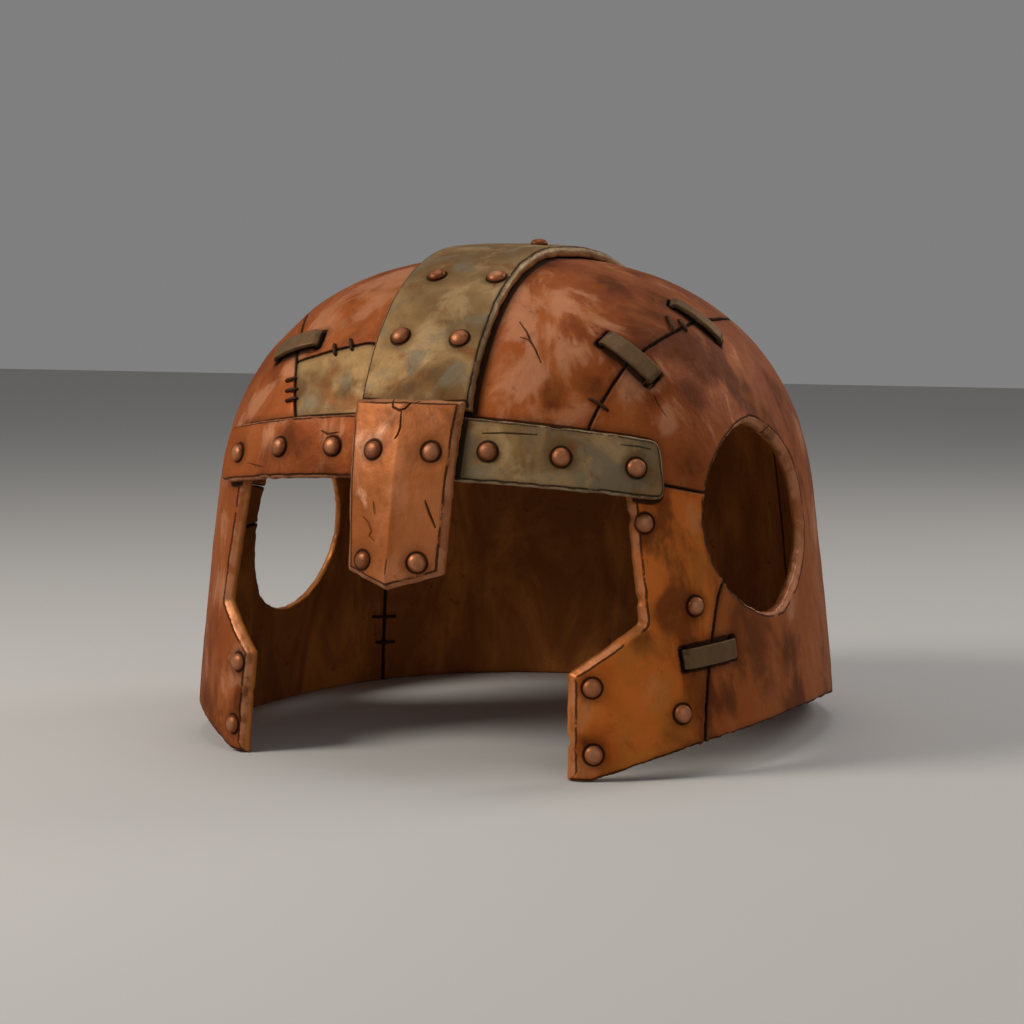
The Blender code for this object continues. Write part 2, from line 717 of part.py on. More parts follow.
def cut_beside_crest(points, side):
    """The outline on one side, closed by a straight edge that the crest band covers."""
    kept = [p for p in points if side * p[0] > CROWN_PLATE_EDGE_X + 2 * SEAM_GAP]
    return kept + [(side * CROWN_PLATE_EDGE_X, kept[-1][1]), (side * CROWN_PLATE_EDGE_X, kept[0][1])]


def crown_outline(side):
    """A crown plate: from under the crest band out to its seam, and down to the brow in front."""
    if side > 0:
        front = part_of(seam(EYE_LINE), 0, LEFT_CROWN_SEAM[0][0])
        edge = seam(LEFT_CROWN_SEAM)
    else:
        front = seam(PATCH_TOP_SEAM, side)[::-1]
        edge = part_of(seam(RIGHT_CROWN_SEAM, side), PATCH_TOP_SEAM[0][0], 180, side)
    return cut_beside_crest([Dome.flat(*place) for place in front + edge], side)


def patch_outline():
    """The brow patch: a small plate between the brow, the crest band and the right side plate."""
    low = part_of(seam(EYE_LINE, -1), 0, RIGHT_CROWN_SEAM[0][0], -1)
    outer = part_of(seam(RIGHT_CROWN_SEAM, -1), RIGHT_CROWN_SEAM[0][0], PATCH_TOP_SEAM[0][0], -1)
    return cut_beside_crest([Dome.flat(*place) for place in low + outer + seam(PATCH_TOP_SEAM, -1)], -1)


def cheek_seam(side):
    """The seam behind the cheek plate, from the ear opening down to the rim."""
    foot = rim(CHEEK_SEAM[-1][0], BACK_SEAM_TURN[side], side)[0]
    return [place for place in seam(CHEEK_SEAM, side) if place[1] > foot[1] + 0.001] + [foot]


def side_outline(side):
    """A side plate: from the cheek seam back to the back seam, and up to the crown seam."""
    rows = LEFT_CROWN_SEAM if side > 0 else RIGHT_CROWN_SEAM
    top = part_of(seam(rows, side), rows[0][0], BACK_SEAM_TURN[side], side)
    low = part_of(seam(EYE_LINE, side), rows[0][0], EYE_LINE[-1][0], side)
    foot = rim(CHEEK_SEAM[-1][0], BACK_SEAM_TURN[side], side)
    return low + cheek_seam(side) + foot + top[::-1]


def back_outline():
    """The back plate, between the two back seams."""
    low = {side: rim(BACK_SEAM_TURN[side], 180, side) for side, _ in SIDES}
    top = {side: part_of(seam(rows, side), BACK_SEAM_TURN[side], 180, side) for side, rows in (
        (1, LEFT_CROWN_SEAM), (-1, RIGHT_CROWN_SEAM)
    )}
    right = [(2 * math.pi + turn, path) for turn, path in low[-1][::-1] + top[-1]]
    return low[1] + right + top[1][::-1]


def cheek_outline(side):
    """A cheek plate: its tip stands on the floor and its notch opens the face."""
    foot = rim(CHEEK_TIP_TURN[side], CHEEK_SEAM[-1][0], side)
    top = part_of(seam(EYE_LINE, side), BROW_EDGE_TURN[side], EYE_LINE[-1][0], side)
    face = [(NOTCH_TURN[side], NOTCH_HEIGHT), (CHEEK_FRONT_TURN[side], CHEEK_FRONT_HEIGHT)]
    face = [(side * math.radians(turn), path_at(height)) for turn, height in face]
    return foot + cheek_seam(side)[::-1] + top[::-1] + face


def is_face_edge(side):
    """Whether a point of the flat cheek plate lies on the edge of the face opening."""
    front = CHEEK_FRONT_TURN[side]

    def test(place):
        turn = side * math.degrees(place.x / WALL_RADIUS)
        height = np.interp(place.y, PATHS, HEIGHTS)
        share = np.clip((height - CHEEK_FRONT_HEIGHT) / (NOTCH_HEIGHT - CHEEK_FRONT_HEIGHT), 0, 1)
        edge = front + (NOTCH_TURN[side] - front) * share
        return turn < edge + 0.5 and 0.001 < height and place.y < path_of(EYE_LINE[3][1]) - 0.002
    return test


def rounded(points, radius, turns=3):
    """A flat outline with each corner that is sharper than 45 degrees rounded off."""
    made = []
    for before, here, after in zip(points[-1:] + points[:-1], points, points[1:] + points[:1]):
        back = (Vector(before) - Vector(here))
        on = (Vector(after) - Vector(here))
        angle = back.angle(on)
        if angle > math.radians(135):
            made.append(here)
            continue
        reach = min(radius / math.tan(angle / 2), back.length * 0.45, on.length * 0.9)
        start, end = Vector(here) + back.normalized() * reach, Vector(here) + on.normalized() * reach
        for k in range(turns + 1):
            t = k / turns
            made.append(tuple((1 - t) ** 2 * start + 2 * t * (1 - t) * Vector(here) + t**2 * end))
    return made


def brow_outline(side):
    """A brow plate, from under the nasal plate to its rounded end."""
    start = turn_for(BROW_START_X, path_at(BROW_HEIGHT))
    turns = np.linspace(start, math.radians(BROW_END_TURN[side]), 9)
    upper = [(side * t, path_at(brow_middle(t) + brow_half_height(t))) for t in turns]
    lower = [(side * t, path_at(brow_middle(t) - brow_half_height(t))) for t in turns]
    return rounded(laid_flat(Wall, lower + upper[::-1]), BROW_CORNER)


def crest_outline():
    """The crest band, a strip of even width over the crown from brow to nape."""
    front = path_at(brow_middle(0) + brow_half_height(0) + LAYER_GAP)
    back = path_at(CREST_BACK_HEIGHT)
    rows = np.linspace(-(CROWN_PATH - front), CROWN_PATH - back, 29)
    edges = {}
    for side, _ in SIDES:
        x = MIDDLE_X + side * CREST_HALF_WIDTH
        edges[side] = []
        for v in rows:
            u = x
            for _ in range(12):
                turn, path = Dome.place(u, v)
                share = np.interp(path, PATHS, SHARES) * fullness(turn)
                u = x * math.hypot(u, v) / (HALF_WIDTH * share)
            edges[side].append((u, v))
    ends = []
    for k in (0, -1):
        radius = abs(rows[k])
        turns = [math.asin(edges[side][k][0] / radius) for side, _ in SIDES]
        lean = math.copysign(radius, rows[k])
        ends.append([(radius * math.sin(a), lean * math.cos(a)) for a in np.linspace(*turns, 7)])
    return ends[0][::-1] + edges[1][1:-1] + ends[1] + edges[-1][-2:0:-1]


def nasal_outline():
    """The nasal plate, straight-sided and pointed below."""
    heights = np.linspace(NASAL_CORNER_HEIGHT, NASAL_TOP_HEIGHT, 6)
    sides = {
        side: [(turn_for(MIDDLE_X + side * nasal_half_width(h), path_at(h)), path_at(h)) for h in heights]
        for side, _ in SIDES
    }
    top_path, tip_path = path_at(NASAL_TOP_HEIGHT), path_at(NASAL_TIP_HEIGHT)
    inset = NASAL_TOP_HALF_WIDTH / 2
    top = [(turn_for(MIDDLE_X + x, top_path), top_path) for x in (inset, 0, -inset)]
    return laid_flat(Wall, sides[1] + top + sides[-1][::-1] + [(turn_for(MIDDLE_X, tip_path), tip_path)])


def centre_on_floor():
    """Moves the whole helmet level, so that its bounds are centred on the origin."""
    graph = bpy.context.evaluated_depsgraph_get()
    corners = []
    for made in PARTS.objects:
        shape = made.evaluated_get(graph)
        corners += [shape.matrix_world @ vert.co for vert in shape.data.vertices]
    for axis in (0, 1):
        places = [corner[axis] for corner in corners]
        for made in PARTS.objects:
            made.location[axis] -= (min(places) + max(places)) / 2


def main():
    copper = material("copper", COPPER)
    bronze = material("bronze", BRONZE)
    rivet_stock = material("rivet_copper", RIVET_COPPER)
    dull_bronze = material("staple_bronze", STAPLE_BRONZE)

    rivets = rivet_places()
    punches = {}
    for _, turn, path, through in rivets:
        for plate, hole in rivet_punches(turn, path, through):
            punches.setdefault(plate, []).append(hole)
    for row in STAPLES:
        for plate in shell_plates(1 if row[1] > 0 else -1):
            punches.setdefault(plate, []).extend(staple_punches(row))
    for side, word in SIDES:
        for plate in ("side_plate_", "cheek_plate_"):
            punches.setdefault(plate + word, []).append(ear_punch(side))

    def plate(name, pattern, outline, stock, **more):
        clear = shrink(outline, SEAM_GAP / 2)
        cut_plate(name, pattern, clear, *layer_of(name), stock, punches.get(name, ()), **more)

    for side, word in SIDES:
        plate("crown_plate_" + word, Dome, crown_outline(side), copper)
        plate("side_plate_" + word, Wall, laid_flat(Wall, side_outline(side)), copper)
        plate(
            "cheek_plate_" + word, Wall, laid_flat(Wall, cheek_outline(side)), copper,
            chamfer=FACE_EDGE_CHAMFER, chamfered=is_face_edge(side),
        )
    plate("brow_patch", Dome, patch_outline(), bronze)
    plate("back_plate", Back, laid_flat(Back, back_outline()), copper)

    plate("brow_plate_left", Wall, brow_outline(1), bronze, chamfer=BROW_CHAMFER)
    plate("brow_plate_right", Wall, brow_outline(-1), copper, chamfer=BROW_CHAMFER)
    plate("crest_band", Dome, crest_outline(), bronze, chamfer=CREST_CHAMFER)
    plate("nasal_plate", Wall, nasal_outline(), copper, chamfer=NASAL_CHAMFER, lift=nasal_lift)
    for name, turn, path, through in rivets:
        make_rivet(name, turn, path, through, rivet_stock)
    for row in STAPLES:
        make_staple(row, dull_bronze)
    bpy.context.view_layer.update()
    centre_on_floor()


for old in list(bpy.data.objects):
    bpy.data.objects.remove(old)
PARTS = bpy.data.collections.new("riveted_helmet")
CUTTERS = bpy.data.collections.new("cutters")
bpy.context.scene.collection.children.link(PARTS)
bpy.context.scene.collection.children.link(CUTTERS)
main()
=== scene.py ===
import math

import bpy
import numpy as np
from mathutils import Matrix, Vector
from mathutils.kdtree import KDTree


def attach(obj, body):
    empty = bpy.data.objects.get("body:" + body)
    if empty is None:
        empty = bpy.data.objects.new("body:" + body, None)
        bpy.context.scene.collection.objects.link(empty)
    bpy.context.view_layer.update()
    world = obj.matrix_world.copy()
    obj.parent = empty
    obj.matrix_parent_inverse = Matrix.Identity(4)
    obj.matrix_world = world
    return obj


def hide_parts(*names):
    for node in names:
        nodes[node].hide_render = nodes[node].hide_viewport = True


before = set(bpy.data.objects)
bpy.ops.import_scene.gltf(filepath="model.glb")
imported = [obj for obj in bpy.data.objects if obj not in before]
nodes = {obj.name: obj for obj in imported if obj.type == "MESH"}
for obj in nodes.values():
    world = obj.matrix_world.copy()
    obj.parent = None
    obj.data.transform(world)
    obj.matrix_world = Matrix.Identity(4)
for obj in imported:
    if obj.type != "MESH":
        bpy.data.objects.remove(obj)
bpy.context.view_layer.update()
print("frame loaded:", len(nodes), "nodes")

# The skull form that every plate is raised over, as in the CAD
form = {
    "halfWidth": 0.1248, "frontReach": 0.1074, "backReach": 0.1495, "crownHeight": 0.1928,
    "shoulderHeight": 0.0958, "sideLean": 0.0091, "leanCurve": 1.24, "cornerFullness": 2.5, "domeFullness": 2.48,
    "levelRim": 0.05, "wallRadius": 0.110, "browHeight": 0.1208, "shift": (0.00051, -0.014699, 0.0),
    "plateThickness": 0.0045,
}
shift = np.array(form["shift"])
# the nasal plate's ridge, which stands out further towards the tip
ridge = {
    "top": 0.0016, "bottom": 0.0084, "topHeight": 0.1366, "tipHeight": 0.068, "halfWidth": 0.0221, "middle": 0.003,
}
# the search for a raised point's place in its flat sheet
search = {"coarse": 500, "rounds": 12, "nudge": 2e-5, "longest": 0.004, "probe": 0.0004, "merge": 0.00002}
swells = {"count": 14, "spread": (0.7, 1.5), "level": 5}


def traceMeridian():
    wall = np.linspace(0, form["shoulderHeight"], 2400, endpoint=False)
    turn = np.linspace(0, math.pi / 2, 4000)
    rise = (form["crownHeight"] - form["shoulderHeight"]) * np.sin(turn) ** (2 / form["domeFullness"])
    height = np.concatenate([wall, form["shoulderHeight"] + rise])
    dome = np.concatenate([np.ones_like(wall), np.abs(np.cos(turn)) ** (2 / form["domeFullness"])])
    lean = form["sideLean"] / form["halfWidth"] * (height / form["shoulderHeight"]) ** form["leanCurve"]
    share = dome * (1 - lean)
    steps = np.hypot(np.diff(height), form["halfWidth"] * np.diff(share))
    return height, share, np.concatenate([[0], np.cumsum(steps)])


heights, shares, paths = traceMeridian()
crownPath = paths[-1]


def fullness(turn):
    sides = np.abs(np.sin(turn)) ** form["cornerFullness"] + np.abs(np.cos(turn)) ** form["cornerFullness"]
    return sides ** (-1 / form["cornerFullness"])


def skullPoint(turn, path):
    share = np.interp(path, paths, shares) * fullness(turn)
    reach = np.where(np.cos(turn) > 0, form["frontReach"], form["backReach"])
    x = form["halfWidth"] * share * np.sin(turn)
    return np.stack([x, -reach * share * np.cos(turn), np.interp(path, paths, heights)], -1)


def pathOf(level):
    # the floor is level 0, the brow 1 and the crown 2
    level = np.asarray(level, float)
    brow, crown = form["browHeight"], form["crownHeight"]
    return np.interp(np.where(level <= 1, brow * level, brow + (crown - brow) * (level - 1)), heights, paths)


def placeOf(pattern, u, v):
    if pattern == "dome":
        return np.arctan2(u, -v), crownPath - np.hypot(u, v)
    return u / form["wallRadius"], v


def flatOf(pattern, turn, path):
    if pattern == "dome":
        return (crownPath - path) * np.sin(turn), (path - crownPath) * np.cos(turn)
    if pattern == "back":
        turn = turn % (2 * math.pi)
    return turn * form["wallRadius"], path


def ridgeLift(point):
    # how far the nasal plate's middle stands out
    up = np.clip((point[:, 2] - ridge["tipHeight"]) / (ridge["topHeight"] - ridge["tipHeight"]), 0, 1)
    out = ridge["bottom"] + (ridge["top"] - ridge["bottom"]) * up
    return out * np.clip(1 - np.abs(point[:, 0] - ridge["middle"]) / ridge["halfWidth"], 0, 1)


def raisePoints(pattern, flat, ridged=False):
    u, v, w = flat.T
    step = search["probe"]
    point = skullPoint(*placeOf(pattern, u, v))
    along = skullPoint(*placeOf(pattern, u + step, v)) - skullPoint(*placeOf(pattern, u - step, v))
    up = skullPoint(*placeOf(pattern, u, v + step)) - skullPoint(*placeOf(pattern, u, v - step))
    through = np.cross(along, up)
    through /= np.linalg.norm(through, axis=1)[:, None]
    through[:, 2] *= np.clip(point[:, 2] / form["levelRim"], 0, 1)
    through /= np.linalg.norm(through, axis=1)[:, None]
    if ridged:
        w = w + ridgeLift(point)
    return point + w[:, None] * through


def layFlat(pattern, points, ridged=False):
    # Newton steps back from the raised point to its place in the flat sheet
    x, y, z = points.T
    reach = np.where(y < 0, form["frontReach"], form["backReach"])
    turn = np.arctan2(x / form["halfWidth"], -y / reach)
    share = np.hypot(x / form["halfWidth"], y / reach) / fullness(turn)
    coarse = np.linspace(0, crownPath, search["coarse"])
    across, up = np.interp(coarse, paths, shares), np.interp(coarse, paths, heights)
    away = (form["halfWidth"] * (across - share[:, None])) ** 2 + (up - z[:, None]) ** 2
    u, v = flatOf(pattern, turn, coarse[np.argmin(away, axis=1)])
    flat = np.stack([u, v, np.zeros_like(u)], -1)
    for _ in range(search["rounds"]):
        here = raisePoints(pattern, flat, ridged)
        slope = np.empty((len(flat), 3, 3))
        for k in range(3):
            nudge = np.zeros(3)
            nudge[k] = search["nudge"]
            slope[:, :, k] = (raisePoints(pattern, flat + nudge, ridged) - here) / search["nudge"]
        move = np.linalg.solve(slope, (points - here)[:, :, None])[:, :, 0]
        flat += np.clip(move, -search["longest"], search["longest"])
    return flat, np.linalg.norm(raisePoints(pattern, flat, ridged) - points, axis=1).max()


def readPoints(mesh):
    co = np.empty(len(mesh.vertices) * 3, np.float32)
    mesh.vertices.foreach_get("co", co)
    return co.reshape(-1, 3).astype(float)


def writePoints(mesh, points):
    mesh.vertices.foreach_set("co", np.asarray(points, np.float32).ravel())
    mesh.update()


def readFaces(mesh):
    mesh.calc_loop_triangles()
    tri = np.empty(len(mesh.loop_triangles) * 3, np.int32)
    mesh.loop_triangles.foreach_get("vertices", tri)
    return tri.reshape(-1, 3)


def writeLayer(mesh, name, values):
    layer = mesh.attributes.new(name, "FLOAT", "POINT")
    layer.data.foreach_set("value", np.asarray(values, np.float32))


def deselectAll():
    bpy.ops.object.select_all(action="DESELECT")


def selectOnly(obj):
    deselectAll()
    obj.select_set(True)
    bpy.context.view_layer.objects.active = obj


def added(name, data):
    made = bpy.data.objects.new(name, data)
    bpy.context.scene.collection.objects.link(made)
    return made


def copyOfNode(node, name):
    # own copy of a CAD node's mesh, with its loose triangles merged
    made = added(name, nodes[node].data.copy())
    made.data.materials.clear()
    for layer in list(made.data.uv_layers):
        made.data.uv_layers.remove(layer)
    selectOnly(made)
    bpy.ops.object.mode_set(mode="EDIT")
    bpy.ops.mesh.select_all(action="SELECT")
    bpy.ops.mesh.remove_doubles(threshold=search["merge"])
    bpy.ops.mesh.customdata_custom_splitnormals_clear()
    bpy.ops.object.mode_set(mode="OBJECT")
    return made


def applied(obj, kind, **settings):
    selectOnly(obj)
    modifier = obj.modifiers.new("step", kind)
    for key, value in settings.items():
        setattr(modifier, key, value)
    bpy.ops.object.modifier_apply(modifier=modifier.name)


def treeOf(points):
    tree = KDTree(len(points))
    for k, point in enumerate(points):
        tree.insert(point, k)
    tree.balance()
    return tree


def nearestIn(tree, points):
    found = [tree.find(point) for point in points]
    return np.array([hit[1] for hit in found]), np.array([hit[2] for hit in found])


def ease(x, low, high):
    t = np.clip((x - low) / (high - low), 0, 1)
    return t * t * (3 - 2 * t)


def waves(points, size, seed):
    # smooth swells of about this size, between -1 and 1
    made = np.zeros(len(points))
    turnBy = np.random.default_rng(seed)
    for _ in range(swells["count"]):
        way = turnBy.normal(size=3)
        way /= np.linalg.norm(way)
        pace = 2 * math.pi / size * turnBy.uniform(*swells["spread"])
        made += np.sin(points @ way * pace + turnBy.uniform(0, 6.28))
    return np.clip(made / swells["level"], -1, 1)


class Level:
    # a value socket that can be used in sums
    def __init__(self, finish, socket):
        self.finish, self.socket = finish, socket

    def sum(self, operation, other, turned=False):
        pair = (other, self) if turned else (self, other)
        return self.finish.node("ShaderNodeMath", {"operation": operation}, {0: pair[0], 1: pair[1]}).value()

    def __add__(self, other):
        return self.sum("ADD", other)

    def __radd__(self, other):
        return self.sum("ADD", other, True)

    def __sub__(self, other):
        return self.sum("SUBTRACT", other)

    def __rsub__(self, other):
        return self.sum("SUBTRACT", other, True)

    def __mul__(self, other):
        return self.sum("MULTIPLY", other)

    def __rmul__(self, other):
        return self.sum("MULTIPLY", other, True)

    def most(self, other):
        return self.sum("MAXIMUM", other)

    def eased(self, low, high):
        # 0 at low, 1 at high
        settings = {"interpolation_type": "SMOOTHSTEP"}
        return self.finish.node("ShaderNodeMapRange", settings, {0: self, 1: low, 2: high, 3: 0.0, 4: 1.0}).value()


class Made:
    # a node that has been placed, and its outputs
    def __init__(self, finish, node):
        self.finish, self.node = finish, node

    def value(self, name=0):
        return Level(self.finish, self.node.outputs[name])

    def colour(self, name=0):
        return self.node.outputs[name]


class Finish:
    # one material and its nodes
    def __init__(self, name):
        self.material = bpy.data.materials.new(name)
        self.material.use_nodes = True
        self.nodes = self.material.node_tree.nodes
        self.links = self.material.node_tree.links
        self.nodes.clear()
        self.place = self.node("ShaderNodeTexCoord").colour("Object")

    def node(self, kind, settings=None, sockets=None):
        made = self.nodes.new(kind)
        for key, value in (settings or {}).items():
            setattr(made, key, value)
        for key, value in (sockets or {}).items():
            if isinstance(value, Level):
                value = value.socket
            if isinstance(value, bpy.types.NodeSocket):
                self.links.new(value, made.inputs[key])
            else:
                made.inputs[key].default_value = value
        return Made(self, made)

    def noise(self, scale, detail=4.0, rough=0.55, twist=0.0, stretch=(1, 1, 1), offset=0.0):
        spot = self.node(
            "ShaderNodeMapping", {"vector_type": "POINT"},
            {"Vector": self.place, "Location": (offset, offset * 0.7, -offset), "Scale": stretch},
        ).colour()
        sockets = {"Vector": spot, "Scale": scale, "Detail": detail, "Roughness": rough, "Distortion": twist}
        return self.node("ShaderNodeTexNoise", {"noise_dimensions": "3D"}, sockets).value("Fac")

    def cells(self, scale):
        sockets = {"Vector": self.place, "Scale": scale}
        return self.node("ShaderNodeTexVoronoi", {"feature": "F1"}, sockets).value("Distance")

    def layer(self, name):
        return self.node("ShaderNodeAttribute", {"attribute_name": name}).value("Fac")

    def mixed(self, amount, under, over):
        sockets = {0: amount, 6: under, 7: over}
        for key in (6, 7):
            if isinstance(sockets[key], tuple):
                sockets[key] = (*sockets[key], 1.0)
        return self.node("ShaderNodeMix", {"data_type": "RGBA", "clamp_factor": True}, sockets).colour(2)

    def close(self, colour, rough, metal, height, settings):
        bump = self.node("ShaderNodeBump", None, {"Strength": 1.0, "Distance": 0.001, "Height": height}).colour()
        sockets = {"Base Color": colour, "Roughness": rough, "Metallic": metal, "Normal": bump, **settings}
        shader = self.node("ShaderNodeBsdfPrincipled", None, sockets).colour()
        self.node("ShaderNodeOutputMaterial", None, {"Surface": shader})
        return self.material


# an oxide skin gives back little white light
sheen = {"IOR": 1.5, "Specular IOR Level": 0.28, "Specular Tint": (1.0, 0.62, 0.38, 1.0)}


def plateMetal(name, look):
    # aged plate: tones, blotches, stains, worn bevels, grime in seams, painted shade with some grime round rivets,
    # staples and straps, and a brown inside raised as painted light
    f = Finish(name)
    edge, seam, near, bevel = f.layer("edge"), f.layer("seam"), f.layer("near"), f.layer("bevel")
    inner, mark, tone, cast = f.layer("inner"), f.layer("mark"), f.layer("tone"), f.layer("cast")
    # each noise: scale, detail, roughness, twist, stretch and offset
    broad = f.noise(14, 5, 0.6, 0.4, look["stretch"])
    patch = f.noise(34, 7, 0.62, 0.9, look["stretch"], 3.1)
    stain = f.noise(24, 6, 0.62, 0.6, look["stretch"], 7.7)
    fine = f.noise(190, 6, 0.65, 0.2)
    grain = f.noise(900, 3, 0.6)
    brush = f.noise(70, 5, 0.6, 0.6, (1, 1, 0.35), 1.7)

    colour = f.mixed((broad + tone * 0.10).eased(0.38, 0.62), look["deep"], look["warm"])
    colour = f.mixed((brush + tone * 0.08).eased(0.45, 0.70) * 0.55, colour, look["glow"])
    paleMask = (patch + tone * 0.17 + (brush - 0.5) * 0.12).eased(0.54, 0.66)
    colour = f.mixed(paleMask * look["paleShare"], colour, look["pale"])
    staining = (stain - tone * 0.17 + (brush - 0.5) * 0.12).eased(0.53, 0.68)
    colour = f.mixed(staining * look["stainShare"], colour, look["stain"])
    tint = (f.noise(40, 6, 0.6, 1.0, offset=12.4) + cast * 0.16).eased(0.52, 0.66)
    colour = f.mixed(tint * look["tintShare"], colour, look["tint"])
    browned = (f.noise(52, 6, 0.62, 0.8, offset=17.9) - cast * 0.17).eased(0.56, 0.70)
    colour = f.mixed(browned * look["brownShare"], colour, look["brown"])
    freckle = fine.eased(0.60, 0.74)
    colour = f.mixed(freckle * 0.45, colour, look["stain"])

    # grime gathers at seams; round rivets and staples and beside the straps the plate is darkened as painted shade,
    # partly grime: a thin dark ring of painted contact shade and a wider soft painted shade
    atSeam = (1 - edge.eased(0.35, 0.95)) * seam
    besideSeam = (1 - (edge - patch * 1.5).eased(0.0, 2.4)) * (0.35 + 0.5 * stain.eased(0.4, 0.6))
    contactShade = 1 - near.eased(0.35, 1.05)
    shadeAndGrimeNear = (1 - near.eased(0.4, 4.2)) * (0.3 + 0.5 * brush.eased(0.35, 0.65))
    colour = f.mixed(besideSeam * 0.55, colour, look["stain"])
    colour = f.mixed(shadeAndGrimeNear * 0.78, colour, look["stain"])

    # free edges are rubbed, with a dark line along the inner side of the bevel
    breakUp = f.noise(110, 5, 0.65, 0.3, offset=5.0)
    worn = (1 - (edge - bevel).eased(-0.45, 0.15)) * (1 - seam)
    off = edge - bevel - (breakUp - 0.5) * 1.6
    behind = (1 - (off * off).eased(0.05, 0.24)) * breakUp.eased(0.36, 0.46) * (1 - seam) * (1 - inner)
    colour = f.mixed(worn * (0.2 + look["rubShare"] * breakUp.eased(0.42, 0.58)), colour, look["rubbed"])

    # the inside has its own brown with smears, its colour raised as a painted light standing in for light that reaches
    # inside
    smear = f.noise(32, 6, 0.62, 0.8, (1, 1, 0.45), 9.1)
    inside = f.mixed(smear.eased(0.40, 0.66), look["inside"], look["insideWarm"])
    inside = f.mixed(freckle * 0.5, inside, look["ink"])
    colour = f.mixed(inner, colour, inside)

    # the ink also lays the painted contact shade round rivets, staples and strap edges
    ink = atSeam.most(contactShade).most(mark).most(behind * 0.9)
    colour = f.mixed(ink * 0.93, colour, look["ink"])

    rough = look["rough"] + (fine - 0.5) * 0.35 + staining * 0.14 - worn * 0.12 + ink * 0.3
    metal = look["metal"] * (1 - 0.75 * ink) * (1 - 0.35 * inner)
    pits = 1 - f.cells(260).eased(0.0, 0.28)
    height = broad * 0.55 + patch * 0.35 + fine * 0.24 + grain * 0.05 - pits * 0.1 * freckle - ink * 0.3
    return f.close(colour, rough, metal, height, sheen)


looks = {
    "copper": {
        "deep": (0.185, 0.037, 0.007), "warm": (0.295, 0.072, 0.015), "glow": (0.345, 0.105, 0.030),
        "pale": (0.440, 0.190, 0.098), "paleShare": 0.72, "stain": (0.066, 0.014, 0.003), "stainShare": 0.7,
        "tint": (0.310, 0.085, 0.011), "tintShare": 0.35, "brown": (0.115, 0.027, 0.006), "brownShare": 0.35,
        "rubbed": (0.460, 0.195, 0.095), "rubShare": 0.5, "ink": (0.010, 0.004, 0.002),
        "inside": (0.230, 0.072, 0.017), "insideWarm": (0.460, 0.160, 0.034),
        "rough": 0.54, "metal": 0.36, "stretch": (1.0, 1.0, 0.62),
    },
    "bronze": {
        "deep": (0.140, 0.080, 0.032), "warm": (0.255, 0.152, 0.060), "glow": (0.300, 0.188, 0.082),
        "pale": (0.370, 0.255, 0.130), "paleShare": 0.5, "stain": (0.070, 0.030, 0.010), "stainShare": 0.55,
        "tint": (0.150, 0.122, 0.078), "tintShare": 0.8, "brown": (0.160, 0.058, 0.016), "brownShare": 0.8,
        "rubbed": (0.350, 0.250, 0.145), "rubShare": 0.5, "ink": (0.010, 0.005, 0.003),
        "inside": (0.200, 0.072, 0.020), "insideWarm": (0.380, 0.140, 0.040),
        "rough": 0.54, "metal": 0.34, "stretch": (1.0, 1.0, 1.0),
    },
}
looks["cheekCopper"] = {
    **looks["copper"], "deep": (0.305, 0.064, 0.007), "warm": (0.488, 0.119, 0.016), "glow": (0.549, 0.159, 0.030),
    "pale": (0.480, 0.200, 0.072), "paleShare": 0.45, "tint": (0.330, 0.125, 0.017), "tintShare": 0.45,
}
looks["nasalCopper"] = {
    **looks["copper"], "deep": (0.270, 0.076, 0.018), "warm": (0.395, 0.130, 0.044), "glow": (0.470, 0.185, 0.084),
    "pale": (0.620, 0.325, 0.195), "paleShare": 0.85, "stainShare": 0.45,
}
metals = {name: plateMetal(name, look) for name, look in looks.items()}


def smallMetal(name, look):
    # rivets, staples and wire: a rubbed crown, partly wear and partly a painted highlight, and a dark foot that is
    # painted shade
    f = Finish(name)
    foot, age, broad = f.layer("foot"), f.layer("age"), f.noise(120, 4, 0.6, 0.4)
    fine, grain = f.noise(420, 5, 0.65), f.noise(1500, 2, 0.5)
    colour = f.mixed((broad + age * 0.2 - 0.1).eased(0.38, 0.62), look["warm"], look["deep"])
    colour = f.mixed((fine + age * 0.1).eased(0.58, 0.75) * 0.6, colour, look["stain"])
    # the crown is paler: rubbed wear and a painted highlight together
    rubbedAndHighlit = foot.eased(look["rubbedAndHighlitFrom"], 1.0) * (0.8 - age * 0.5) * (0.35 + 0.65 * broad.eased(0.40, 0.60))
    colour = f.mixed(rubbedAndHighlit, colour, look["rubbed"])
    # towards the plate the piece darkens as painted shade
    colour = f.mixed((1 - foot.eased(0.02, look["footShadeTo"])) * 0.92, colour, look["ink"])
    rough = look["rough"] + (fine - 0.5) * 0.3
    height = broad * 0.2 + fine * 0.16 + grain * 0.04
    return f.close(colour, rough, foot.eased(0, 0.3) * look["metal"], height, sheen)


metals["rivet"] = smallMetal("rivetCopper", {
    "deep": (0.160, 0.045, 0.015), "warm": (0.300, 0.100, 0.040), "stain": (0.080, 0.021, 0.007),
    "rubbed": (0.480, 0.220, 0.115), "ink": (0.012, 0.005, 0.003), "rough": 0.42, "metal": 0.45,
    "rubbedAndHighlitFrom": 0.55, "footShadeTo": 0.36,
})
metals["staple"] = smallMetal("stapleBronze", {
    "deep": (0.050, 0.027, 0.012), "warm": (0.120, 0.066, 0.030), "stain": (0.045, 0.019, 0.007),
    "rubbed": (0.200, 0.125, 0.068), "ink": (0.010, 0.005, 0.003), "rough": 0.5, "metal": 0.4,
    "rubbedAndHighlitFrom": 0.6, "footShadeTo": 0.42,
})
metals["wire"] = smallMetal("stitchWire", {
    "deep": (0.016, 0.008, 0.004), "warm": (0.032, 0.015, 0.008), "stain": (0.010, 0.005, 0.003),
    "rubbed": (0.060, 0.032, 0.018), "ink": (0.008, 0.004, 0.002), "rough": 0.5, "metal": 0.4,
    "rubbedAndHighlitFrom": 0.7, "footShadeTo": 0.2,
})
print("materials made:", len(metals))

